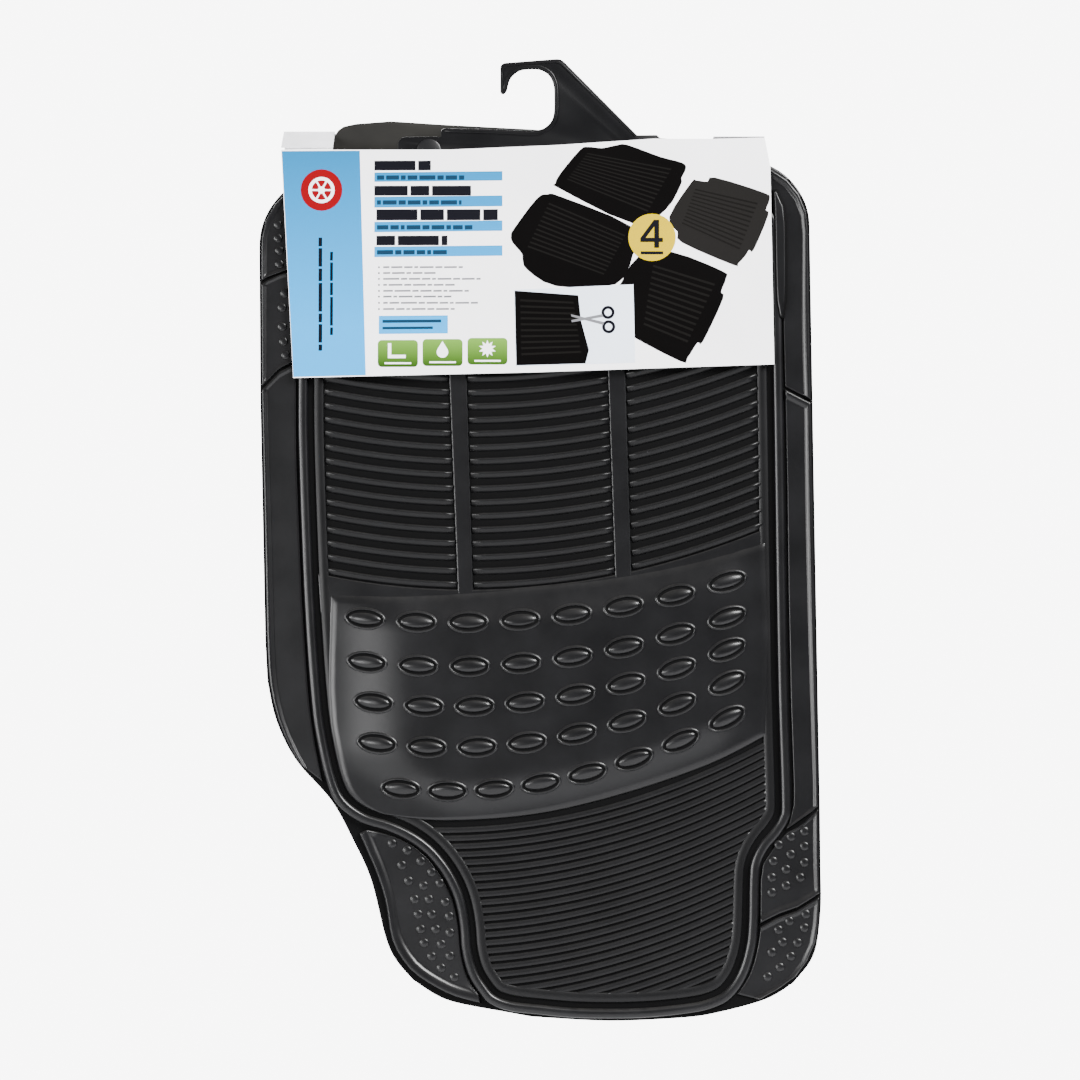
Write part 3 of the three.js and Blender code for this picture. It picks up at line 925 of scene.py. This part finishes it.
def rubber_finishes(look):
    """The tread rubber, a near-black copy of it painted as shade in the recesses, the underside, and a
    slightly darker copy painted as shade on the ribs and bands, in slot order.
    """
    dark = tuple(look.rubber_colour)
    # Painted shade: the ribs and bands get a copy of the rubber a little darker, for the shade their rounded
    # tops should show.
    rib_shade = tuple(c * 0.8 for c in dark[:3]) + (1.0,)
    light = tuple(min(1.0, c * 1.5) for c in dark[:3]) + (1.0,)
    # Painted shade: a near-black copy of the rubber for recess floors, moats and surrounds, where shade
    # falls.
    deep = tuple(c * 0.22 for c in dark[:3]) + (1.0,)
    return [
        finish_material(
            "tread_rubber", dark, light, (0.27, 0.36), bump=0.3, dust=0.06, Specular_IOR_Level=0.27
        ),
        finish_material(
            "recess_shade_rubber", deep, tuple(c * 1.5 for c in deep[:3]) + (1.0,), (0.7, 0.85), bump=0.3,
            Specular_IOR_Level=0.06
        ),
        finish_material(
            "underside_rubber", srgb(14, 13, 11), srgb(19, 18, 15), (0.4, 0.55), bump=0.3,
            Specular_IOR_Level=0.25
        ),
        finish_material(
            "rib_shade_rubber", rib_shade, dark, (0.34, 0.44), bump=0.3, dust=0.04, Specular_IOR_Level=0.18
        ),
    ]


def print_gradient(name, top, bottom, high, low):
    """A printed patch that runs from one colour to another down the card."""
    if name in bpy.data.materials:
        return bpy.data.materials[name]
    material = finish_material(
        name, bottom, top, (0.4, 0.5), grain=2600.0, bump=0.05, Specular_IOR_Level=0.03
    )
    nodes, links = material.node_tree.nodes, material.node_tree.links
    place = nodes.new("ShaderNodeTexCoord")
    parts = nodes.new("ShaderNodeSeparateXYZ")
    links.new(place.outputs["Object"], parts.inputs["Vector"])
    share = nodes.new("ShaderNodeMapRange")
    share.inputs["From Min"].default_value = low
    share.inputs["From Max"].default_value = high
    links.new(parts.outputs["Z"], share.inputs["Value"])
    colours = [n for n in nodes if n.bl_idname == "ShaderNodeValToRGB"][0]
    colours.color_ramp.elements[0].position = 0.0
    colours.color_ramp.elements[1].position = 1.0
    links.new(share.outputs["Result"], colours.inputs["Fac"])
    return material


INKS = {
    "card_white": (0.88, 0.87, 0.89),
    "print_red": (0.15, 0.0008, 0.0035),
    "print_dark": (0.004, 0.004, 0.006),
    "print_grey": (0.12, 0.12, 0.13),
    "print_black_mat": (0.0012, 0.001, 0.001),
    "print_grey_mat": (0.0075, 0.007, 0.0066),
    "print_rib": (0.0042, 0.0039, 0.0036),
    "print_inset": (0.66, 0.72, 0.82),
    "print_yellow": (0.38, 0.27, 0.0),
    "print_deep_blue": (0.006, 0.022, 0.045),
}


def card_finishes():
    """Every card material by name; the green patches run from pale to deep in print, their pale tops raised
    further by a painted highlight.
    """
    made = {}
    for name, colour in INKS.items():
        top = (*colour, 1.0)
        under = tuple(c * 0.94 for c in colour) + (1.0,)
        look = {"grain": 2600.0, "bump": 0.05, "mottle": 14.0, "Specular_IOR_Level": 0.03}
        made[name] = finish_material(name, under, top, (0.4, 0.5), **look)
    made["print_blue"] = print_gradient(
        "print_blue", (0.0015, 0.115, 0.265, 1.0), (0.003, 0.24, 0.56, 1.0), -0.06, -0.19
    )
    # Printed gradient, pale at the top; the top colour is raised further as a painted highlight.
    made["print_green_with_highlight"] = print_gradient(
        "print_green_with_highlight", (0.1, 0.22, 0.03, 1.0), (0.014, 0.045, 0.004, 1.0), -0.198, -0.219
    )
    return made


# ------------------------------------------------------------------ finished pieces


def add_piece(name, bm, materials):
    """A finished object at the origin, from a bmesh already in its place in metres."""
    mesh = bpy.data.meshes.new(name)
    bm.to_mesh(mesh)
    bm.free()
    for material in materials:
        mesh.materials.append(material)
    piece = bpy.data.objects.new(name, mesh)
    bpy.context.scene.collection.objects.link(piece)
    return piece


def mark_creases(bm, angle=35):
    """Smooth faces, with edges sharper than the angle kept crisp."""
    for f in bm.faces:
        f.smooth = True
    for e in bm.edges:
        if len(e.link_faces) == 2 and e.calc_face_angle(0) > math.radians(angle):
            e.smooth = False


def softened_copy(nodes, edge):
    """A merged copy of CAD nodes with its sharp edges rounded, in metres."""
    bm = bmesh.new()
    for node in nodes:
        bm.from_mesh(bpy.data.objects[node].data)
    bmesh.ops.remove_doubles(bm, verts=bm.verts, dist=1e-6)
    bmesh.ops.dissolve_limit(bm, angle_limit=math.radians(1), verts=bm.verts, edges=bm.edges)
    sharp = [e for e in bm.edges if len(e.link_faces) == 2 and e.calc_face_angle(0) > math.radians(40)]
    rounding = {"segments": 2, "profile": 0.5, "affect": "EDGES", "material": -1, "clamp_overlap": True}
    bmesh.ops.bevel(bm, geom=sharp, offset=edge * MM, **rounding)
    for f in bm.faces:
        f.material_index = 0
    mark_creases(bm)
    return bm


def add_flat(bm, flat, level, face):
    """Stands a flat part up at a depth in millimetres and adds it to a bmesh in metres."""
    for v in flat.verts:
        v.co = Vector((v.co.x, level + face * v.co.z, v.co.y)) * MM
    if face > 0:
        bmesh.ops.reverse_faces(flat, faces=flat.faces)
    mesh = bpy.data.meshes.new("flat_part")
    flat.to_mesh(mesh)
    flat.free()
    bm.from_mesh(mesh)
    bpy.data.meshes.remove(mesh)


# ------------------------------------------------------------------ the card

FRONT_CARD = [
    (-183.5, -59.5), (-174.6, -227), (0, -223), (178.6, -217), (175.7, -72), (171.5, -50.5),
    (134, -51.45), (90, -51.36), (20, -56), (-60, -59.4), (-145.5, -59.5), (-145.5, -58.54),
]
WORD_WIDTHS = (5.2, 9.4, 3.4, 7.1, 11.8, 4.6, 8.3, 6.2, 2.8, 10.1)
BENEFIT_LINES = (
    (-145.8, -50), (-150.1, -70), (-154.4, -37), (-158.8, -56), (-163.2, -45.6), (-167.4, -58.4),
    (-172, -37), (-176.5, -56)
)


def box_shape(x0, y0, x1, y1, rise=0.0):
    """Four corners; the right end may stand a little higher."""
    return [(x0, y0), (x0, y1), (x1, y1 + rise), (x1, y0 + rise)]


def disc_shape(x, y, radius, count=28):
    """A disc, as a many-sided shape."""
    turns = [2 * math.pi * k / count for k in range(count)]
    return [(x + radius * math.cos(a), y + radius * math.sin(a)) for a in turns]


def rounded_shape(x0, y0, x1, y1, radius):
    """A box between two opposite corners, with its corners rounded."""
    corners = (
        (x1 - radius, y0 - radius, 0),
        (x0 + radius, y0 - radius, 90),
        (x0 + radius, y1 + radius, 180),
        (x1 - radius, y1 + radius, 270),
    )
    points = []
    for x, y, turn in corners:
        points += [tuple(p) for p in arc((x, y), radius, turn, turn + 90, 5)]
    return points


def star_shape(x, y, outer, inner, count):
    """A star of even points between two radii."""
    points = []
    for k in range(2 * count):
        turn = math.pi * k / count + math.pi / 2
        reach = inner if k % 2 else outer
        points.append((x + reach * math.cos(turn), y + reach * math.sin(turn)))
    return points


def bars_across(left, right, shares, width):
    """Thin bars between two sides of a shape, as four-cornered shapes."""
    a, b = Line(left), Line(right)
    shapes = []
    for share in shares:
        p, q, r, s = a.at(share), a.at(share + width), b.at(share + width), b.at(share)
        shapes.append([tuple(p), tuple(q), tuple(r), tuple(s)])
    return shapes


def word_bars(ink, layer, x, end, y, height, widths=WORD_WIDTHS):
    """A line of plain bars standing in for words."""
    made = []
    gap = min(1.1 + height * 0.12, 2.4)
    word = int(abs(y))
    while x < end - 1.5:
        stop = min(x + widths[word % len(widths)], end)
        made.append((ink, layer, box_shape(x, y + height / 2, stop, y - height / 2, 0.1)))
        x, word = stop + gap, word + 1
    return made


def heading_prints():
    """The blue strip, the heading's bars and the lines of words over them."""
    made = [("print_blue", 1, [(-183.0, -60.5), (-174.4, -226.3), (-121.3, -225), (-125.7, -60.2)])]
    for y0, y1 in ((-76.2, -83.1), (-94.1, -102), (-112.5, -120.1), (-130.8, -138.4)):
        made.append(("print_blue", 1, box_shape(-115, y0, -21, y1, 1)))
    for y, end in ((-80, -49), (-98.3, -51), (-116.6, -43), (-134.9, -59)):
        made += word_bars("print_deep_blue", 2, -113, end, y, 3.2)
    headings = (
        (-115, -67.6, -73.5, -74.7),
        (-115, -86, -44, -93.3),
        (-113.5, -103.3, -24.3, -111.4),
        (-113.5, -122.7, -61.3, -129.8),
    )
    for x, y0, end, y1 in headings:
        made += word_bars("print_dark", 2, x, end, (y0 + y1) / 2, y0 - y1, (17.4, 24.6, 13.8, 30.2))
    return made


def emblem_prints():
    """The red wheel on the strip, and the words that run down beside it."""
    x, y = -153.8, -89.1
    made = [("print_red", 2, disc_shape(x, y, 15.3))]
    made.append(("card_white", 3, disc_shape(x, y, 9.6)))
    made.append(("print_red", 4, disc_shape(x, y, 7.2)))
    spoke_corners = ((0, 0.6), (0, -0.6), (8, -0.6), (8, 0.6))
    for turn in range(0, 360, 60):
        c, s = math.cos(math.radians(turn)), math.sin(math.radians(turn))
        spoke = [(x + c * r - s * w, y + s * r + c * w) for r, w in spoke_corners]
        made.append(("card_white", 5, spoke))
    made.append(("card_white", 6, disc_shape(x, y, 2.6, 16)))
    for side, width, top, end in ((-154.6, 2.6, -124, -207), (-146.4, 2.0, -134.5, -195.5)):
        for ink, layer, bar in word_bars("print_dark", 2, 0, top - end, 0, width, (6.4, 13.5, 9.2, 21.0)):
            made.append((ink, layer, [(side - v, top - u) for u, v in bar]))
    return made


def benefit_prints():
    """The list of benefits, the blue box under it and the three green badges."""
    made = []
    for y, end in BENEFIT_LINES:
        made.append(("print_dark", 1, disc_shape(-111.6, y, 0.7, 8)))
        made += word_bars("print_grey", 1, -108.5, end, y, 1.3)
    made.append(("print_blue", 1, box_shape(-111.7, -181.5, -61, -194.8, 0.4)))
    made.append(("print_deep_blue", 2, box_shape(-109, -184.5, -66, -186.6, 0.3)))
    made.append(("print_deep_blue", 2, box_shape(-109, -189.6, -72, -191.4, 0.3)))
    badges = ((-112.5, -83, -199.2, -219), (-79.6, -50.2, -198.5, -218.3), (-46.6, -17.3, -197.7, -217.3))
    for x0, x1, y0, y1 in badges:
        made.append(("print_green_with_highlight", 1, rounded_shape(x0, y0, x1, y1, 3)))
        made.append(("card_white", 2, box_shape(x0 + 5, y1 + 3.4, x1 - 5, y1 + 2.2)))
    fold = [(-105, -201.5), (-105, -212.5), (-92, -212.5), (-92, -210.1), (-102.6, -210.1), (-102.6, -201.5)]
    made.append(("card_white", 2, fold))
    drop = [(-65, -200)] + [tuple(p) for p in arc((-65, -208), 4.2, 150, 390, 12)]
    made.append(("card_white", 2, drop))
    made.append(("card_white", 2, star_shape(-32, -205.6, 6.4, 3.6, 10)))
    return made


# ink, outline, the ends of its ribs on the left and on the right, layer
MAT_PICTURES = (
    (
        "print_black_mat",
        [(17.9, -84.2), (22, -76.2), (36, -59.5), (42, -57.3), (52, -58.2), (62.7, -56.1), (70.7, -55.8)]
        + [(94.8, -64.6), (110.8, -68.9), (113.8, -73.1), (110.5, -80.3), (110.1, -84.9), (98.8, -103.6)]
        + [(74.7, -113.6), (21.3, -88.2)],
        [(42, -61), (25, -83)], [(104, -72), (84, -108)], 1,
    ),
    (
        "print_black_mat",
        [(-14.7, -122.3), (-12.1, -116.9), (4, -95.6), (12, -92.2), (22.6, -94.2), (74.1, -116.3)]
        + [(74.7, -137), (62, -158.4), (18.6, -159.7), (-2.7, -147.7), (-6.1, -140.4), (-6.8, -135.7)]
        + [(-13.5, -127.7)],
        [(14, -97), (-4, -134)], [(70, -121), (52, -154)], 2,
    ),
    (
        "print_grey_mat",
        [(101.4, -108.9), (117.5, -83.6), (121.5, -82), (129.5, -82.9), (134.9, -79.8), (170.9, -90.9)]
        + [(175.2, -95.6), (172.5, -103.6), (174.2, -107.6), (163.5, -133), (160.2, -133), (157.6, -137)]
        + [(152.1, -143), (148.2, -144), (110.8, -127.7), (107.5, -119.7)],
        [(121, -87), (110, -116)], [(167, -97), (152, -136)], 1,
    ),
    (
        "print_black_mat",
        [(78.6, -138.3), (102.8, -134.4), (140.2, -148.4), (143.3, -153.6), (139.5, -163.8)]
        + [(140.9, -169.1), (126.2, -200.4), (122.2, -201.1), (114.8, -212.4), (109.5, -214.8)]
        + [(70, -194), (60, -184), (60, -166), (66, -157.5)],
        [(90, -142), (82, -192)], [(136, -156), (113, -205)], 3,
    ),
)


def picture_prints():
    """The four mats pictured on the card, with their ribs."""
    made = []
    for ink, outline, left, right, layer in MAT_PICTURES:
        made.append((ink, layer, [tuple(p) for p in smooth(outline, closed=True, steps=3)]))
        for bar in bars_across(left, right, [0.04 + 0.085 * k for k in range(11)], 0.03):
            made.append(("print_rib", layer + 1, bar))
    return made


def inset_prints():
    """The small inset picture: a mat's corner and a pair of scissors."""
    made = [("print_inset", 4, [(-12.3, -162.4), (-11, -218.5), (76.4, -215.8), (75.1, -158.4)])]
    corner = [(-12, -163), (-10.8, -217.9), (40, -216.5), (42.6, -206.5), (36.7, -185), (34.7, -166.4)]
    made.append(("print_black_mat", 5, corner))
    left, right = [(-8, -168), (-7, -212)], [(31, -170), (37, -210)]
    for bar in bars_across(left, right, [0.03 + 0.1 * k for k in range(10)], 0.035):
        made.append(("print_rib", 6, bar))
    for x, y in ((56.5, -179), (57, -189.5)):
        made.append(("print_dark", 6, disc_shape(x, y, 4.9, 20)))
        made.append(("print_inset", 7, disc_shape(x, y, 2.6, 20)))
    made.append(("print_grey", 7, [(29.3, -180.4), (29.8, -182), (53, -188.2), (53.6, -186)]))
    made.append(("print_grey", 8, [(30, -186.2), (29.6, -184.6), (52.4, -180.2), (53, -182.3)]))
    return made


def round_badge_prints():
    """The yellow disc with a four on it."""
    made = [("print_yellow", 5, disc_shape(88.8, -123.9, 17.4, 36))]
    four = [(90.2, -111), (80.2, -124.5), (80.2, -127.3), (90.4, -127.3), (90.4, -131.6), (94, -131.6)]
    four += [(94, -127.3), (96.8, -127.3), (96.8, -124.2), (94, -124.2), (94, -111)]
    made.append(("print_dark", 6, four))
    made.append(("print_yellow", 7, [(90.4, -116), (84.2, -124.2), (90.4, -124.2)]))
    made.append(("print_dark", 6, box_shape(80.5, -134.2, 97, -136.4)))
    return made


def card_prints():
    """Everything printed on the card's front: (ink, layer, shape)."""
    text = heading_prints() + emblem_prints() + benefit_prints()
    return text + picture_prints() + inset_prints() + round_badge_prints()


def card_bulge(x, y):
    """How far the front panel bows forwards, in millimetres."""
    across = max(0.0, 1 - ((x + 3) / 182) ** 2)
    down = between(-y, 55, 130) * (1 - 0.35 * between(-y, 150, 226))
    return 1.5 * across * down


def cut_to_grid(bm, step):
    """Cuts a flat shape along an even grid, so that it can follow a curve."""
    xs = [v.co.x for v in bm.verts]
    ys = [v.co.y for v in bm.verts]
    for axis, values in ((0, xs), (1, ys)):
        low, high = math.floor(min(values) / step) + 1, math.ceil(max(values) / step)
        for k in range(low, high):
            at, normal = [0, 0, 0], [0, 0, 0]
            at[axis], normal[axis] = k * step, 1
            geometry = bm.verts[:] + bm.edges[:] + bm.faces[:]
            bmesh.ops.bisect_plane(bm, geom=geometry, plane_co=at, plane_no=normal, dist=1e-4)


def card_slab(shape, top, thickness, index):
    """A thin printed or board slab following the card's bow, its top at a height over the board."""
    flat = bmesh.new()
    flat.faces.new([flat.verts.new((x, y, 0)) for x, y in shape])
    bmesh.ops.recalc_face_normals(flat, faces=flat.faces)
    if next(iter(flat.faces)).normal.z < 0:
        bmesh.ops.reverse_faces(flat, faces=flat.faces)
    cut_to_grid(flat, 12.0)
    made = bmesh.ops.extrude_face_region(flat, geom=flat.faces[:], use_keep_orig=True)["geom"]
    low = [g for g in made if isinstance(g, bmesh.types.BMVert)]
    bmesh.ops.translate(flat, verts=low, vec=(0, 0, -thickness))
    bmesh.ops.recalc_face_normals(flat, faces=flat.faces)
    for f in flat.faces:
        f.material_index = index
    for v in flat.verts:
        v.co.z += top + card_bulge(v.co.x, v.co.y)
    mark_creases(flat, 25)
    return flat


# ------------------------------------------------------------------ add-on


class FloorMatSettings(bpy.types.PropertyGroup):
    """Colours of the set, the mats' bend and the hanger's rounding"""

    rubber_colour: bpy.props.FloatVectorProperty(
        name="Rubber", description="Colour of the tread rubber", default=srgb(7, 7, 8),
        size=4, subtype="COLOR",
    )
    hanger_colour: bpy.props.FloatVectorProperty(
        name="Hanger", description="Colour of the hook hanger", default=srgb(6, 6, 7),
        size=4, subtype="COLOR",
    )
    pin_colour: bpy.props.FloatVectorProperty(
        name="Pins", description="Colour of the snap pins", default=srgb(17, 17, 18),
        size=4, subtype="COLOR",
    )
    blend_start: bpy.props.FloatProperty(
        name="Bend start", description="Height where a mat starts to bend", default=-0.074, unit="LENGTH"
    )
    blend_end: bpy.props.FloatProperty(
        name="Bend end", description="Height below which a mat swings freely", default=-0.096, unit="LENGTH"
    )
    hanger_edge: bpy.props.FloatProperty(
        name="Hanger edge", description="Rounding of the hanger's edges in millimetres",
        default=0.45, min=0.1,
    )


class StageSettings(bpy.types.PropertyGroup):
    """The camera and the lights round the set"""

    camera_distance: bpy.props.FloatProperty(
        name="Camera distance", description="From the camera to the mats", default=2.8, unit="LENGTH"
    )
    view_width: bpy.props.FloatProperty(
        name="View width", description="Width seen at the mats", default=0.794, unit="LENGTH"
    )
    view_centre: bpy.props.FloatVectorProperty(
        name="View centre", description="Point the camera looks at",
        default=(0.0066, 0.0, -0.346), subtype="XYZ",
    )
    key_power: bpy.props.FloatProperty(
        name="Key light", description="Power from the upper right", default=350.0, unit="POWER"
    )
    side_power: bpy.props.FloatProperty(
        name="Side light", description="Power from the left side", default=120.0, unit="POWER"
    )
    fill_power: bpy.props.FloatProperty(
        name="Fill light", description="Power from the front left", default=55.0, unit="POWER"
    )
    back_power: bpy.props.FloatProperty(
        name="Back light", description="Power behind the mats", default=130.0, unit="POWER"
    )


class MATS_OT_mats(bpy.types.Operator):
    """Builds the four rubber mats"""

    bl_idname = "floor_mats.mats"
    bl_label = "Rubber mats"

    def execute(self, context):
        look = context.scene.floor_mats
        finishes = rubber_finishes(look)
        for name, place in MATS.items():
            bm = bmesh.new()
            if name in FRONT_CROWNS:
                front_mat(bm, name)
            else:
                rear_mat(bm)
            stand_up(bm, place)
            piece = add_piece(f"mat_{name}", bm, finishes)
            body = f"{name}_mat" if name in FRONT_CROWNS else f"rear_mat_{name.split('_')[1]}"
            depth = place["tread"] * MM
            start, end = (0, depth, look.blend_start), (0, depth, look.blend_end)
            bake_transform(piece, "clamp", body, start=start, end=end)
            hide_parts(f"{body}_head", f"{body}_leaf")
        return {"FINISHED"}


class MATS_OT_hanger(bpy.types.Operator):
    """Builds the hook plate, the back plate and the snap pins that clamp the mats"""

    bl_idname = "floor_mats.hanger"
    bl_label = "Hook hanger"

    def execute(self, context):
        look = context.scene.floor_mats
        dark = tuple(look.hanger_colour)
        light = tuple(c * 1.3 for c in dark[:3]) + (1.0,)
        plastic = finish_material(
            "moulded_plastic", dark, light, (0.32, 0.42), grain=1300.0, bump=0.2, dust=0.03,
            Specular_IOR_Level=0.14
        )
        hook = softened_copy(["hanger_hook_plate"], look.hanger_edge)
        ribs = bmesh.new()
        mouth = smooth(
            [(-19.6, -15.6), (-17, -5.6), (-9.3, 0.8), (0, 2), (8.2, 1.1), (15.3, -3.8), (18.6, -11.6)],
            steps=4,
        )
        mouth += smooth(
            [(19.1, -21), (18.9, -31.5), (16.8, -39.3), (10.4, -45.2), (1, -47.4)]
            + [(-37.5, -45.8), (-64, -45.4)],
            steps=4,
        )
        beads(ribs, [mouth], 2.6, 0.9, taper=1.5)
        back_edge = [(-20.9, -14), (-20.9, 0.2), (-17.9, 2.9), (18.2, 5.7), (22.3, 4.2), (76.5, -49.8)]
        beads(ribs, [Line(back_edge).points], 1.8, 0.7, taper=1.0)
        add_flat(hook, ribs, -1.5, -1)
        piece = add_piece("hanger_hook", hook, [plastic])
        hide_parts("hanger_hook_plate")
        back = add_piece("hanger_back", softened_copy(["hanger_back_plate"], look.hanger_edge), [plastic])
        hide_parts("hanger_back_plate")
        for made in (piece, back):
            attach(made, "clamp")

        tone = tuple(look.pin_colour)
        pale = tuple(min(1.0, c * 1.25) for c in tone[:3]) + (1.0,)
        gloss = finish_material(
            "pin_gloss", tone, pale, (0.3, 0.4), bump=0.08, Transmission_Weight=0.15,
            Specular_IOR_Level=0.2
        )
        for node in ("snap_pin_left", "snap_pin_right", "snap_cap_left", "snap_cap_right"):
            pin = add_piece(f"{node}_piece", softened_copy([node], 0.15), [gloss])
            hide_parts(node)
            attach(pin, "clamp")
        return {"FINISHED"}


class MATS_OT_card(bpy.types.Operator):
    """Builds the folded header card with its printed front"""

    bl_idname = "floor_mats.card"
    bl_label = "Header card"

    def execute(self, context):
        finishes = card_finishes()
        names = list(finishes)
        card = bmesh.new()
        add_flat(card, card_slab(FRONT_CARD, 0.0, 0.5, names.index("card_white")), -3.9, -1)
        for name, layer, shape in card_prints():
            top = 0.02 + 0.03 * layer
            add_flat(card, card_slab(shape, top, top + 0.1, names.index(name)), -3.9, -1)
        front = add_piece("card_front", card, list(finishes.values()))
        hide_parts("card_front_panel")
        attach(front, "card_front")
        board = finish_material(
            "card_board", srgb(206, 205, 208), srgb(222, 221, 226), (0.55, 0.7), bump=0.15, mottle=60.0
        )
        back = add_piece("card_back", softened_copy(["card_back_panel"], 0.12), [board])
        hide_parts("card_back_panel")
        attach(back, "card_back")
        bridges = add_piece(
            "card_bridges", softened_copy(["card_bridge_left", "card_bridge_right"], 0.15), [board]
        )
        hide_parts("card_bridge_left", "card_bridge_right")
        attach(bridges, "clamp")
        return {"FINISHED"}


class MATS_OT_stage(bpy.types.Operator):
    """Sets up the pale floor, the soft lights and the camera"""

    bl_idname = "floor_mats.stage"
    bl_label = "Stage"

    def execute(self, context):
        look = context.scene.floor_stage
        floor = bmesh.new()
        bmesh.ops.create_circle(floor, cap_ends=True, segments=96, radius=1.1)
        bmesh.ops.translate(floor, verts=floor.verts, vec=(0, 0, -0.9))
        pale = finish_material(
            "floor", srgb(228, 228, 230), srgb(236, 236, 238), (0.7, 0.8), bump=0.02, mottle=3.0
        )
        add_piece("floor", floor, [pale])

        centre = Vector(look.view_centre)
        for name, power, size, place in (
            ("key_light", look.key_power, 1.3, (1.6, -1.35, 1.25)),
            ("side_light", look.side_power, 1.3, (-2.2, -1.0, -0.2)),
            ("fill_light", look.fill_power, 0.65, (-1.35, -2.35, -0.62)),
            ("back_light", look.back_power, 1.6, (-0.9, 2.2, 0.9)),
        ):
            light = bpy.data.lights.new(name, "AREA")
            light.energy = power
            light.size = size
            lamp = bpy.data.objects.new(name, light)
            lamp.location = place
            lamp.rotation_mode = "QUATERNION"
            lamp.rotation_quaternion = (centre - Vector(place)).to_track_quat("-Z", "Y")
            context.scene.collection.objects.link(lamp)

        world = bpy.data.worlds.new("studio")
        world.use_nodes = True
        nodes, links = world.node_tree.nodes, world.node_tree.links
        nodes["Background"].inputs["Color"].default_value = (1, 1, 1, 1)
        nodes["Background"].inputs["Strength"].default_value = 0.12
        seen = nodes.new("ShaderNodeBackground")
        seen.inputs["Color"].default_value = (1, 1, 1, 1)
        seen.inputs["Strength"].default_value = 8.0
        paths = nodes.new("ShaderNodeLightPath")
        mix = nodes.new("ShaderNodeMixShader")
        links.new(paths.outputs["Is Camera Ray"], mix.inputs["Fac"])
        links.new(nodes["Background"].outputs["Background"], mix.inputs[1])
        links.new(seen.outputs["Background"], mix.inputs[2])
        links.new(mix.outputs["Shader"], nodes["World Output"].inputs["Surface"])
        context.scene.world = world

        data = bpy.data.cameras.new("camera")
        data.lens = data.sensor_width * look.camera_distance / look.view_width
        camera = bpy.data.objects.new("camera", data)
        camera.location = centre - Vector((0, look.camera_distance, 0))
        camera.rotation_euler = (math.radians(90), 0, 0)
        context.scene.collection.objects.link(camera)
        context.scene.camera = camera
        return {"FINISHED"}


class MATS_PT_panel(bpy.types.Panel):
    """Lists the set's pieces and settings"""

    bl_label = "Floor mat set"
    bl_idname = "MATS_PT_panel"
    bl_space_type = "VIEW_3D"
    bl_region_type = "UI"
    bl_category = "Floor Mats"

    def draw(self, context):
        layout = self.layout
        for settings in (context.scene.floor_mats, context.scene.floor_stage):
            box = layout.box()
            for name in settings.__annotations__:
                box.prop(settings, name)
        for operator in OPERATORS:
            layout.operator(operator.bl_idname)


OPERATORS = (MATS_OT_mats, MATS_OT_hanger, MATS_OT_card, MATS_OT_stage)
CLASSES = (FloorMatSettings, StageSettings, *OPERATORS, MATS_PT_panel)


def register():
    """Adds the settings, the operators and the panel."""
    for cls in CLASSES:
        bpy.utils.register_class(cls)
    bpy.types.Scene.floor_mats = bpy.props.PointerProperty(type=FloorMatSettings)
    bpy.types.Scene.floor_stage = bpy.props.PointerProperty(type=StageSettings)


def unregister():
    """Takes them away again."""
    del bpy.types.Scene.floor_stage
    del bpy.types.Scene.floor_mats
    for cls in reversed(CLASSES):
        bpy.utils.unregister_class(cls)


def main():
    """Builds the whole set."""
    register()
    bpy.ops.floor_mats.mats()
    bpy.ops.floor_mats.hanger()
    bpy.ops.floor_mats.card()
    bpy.ops.floor_mats.stage()


if __name__ == "__main__":
    main()
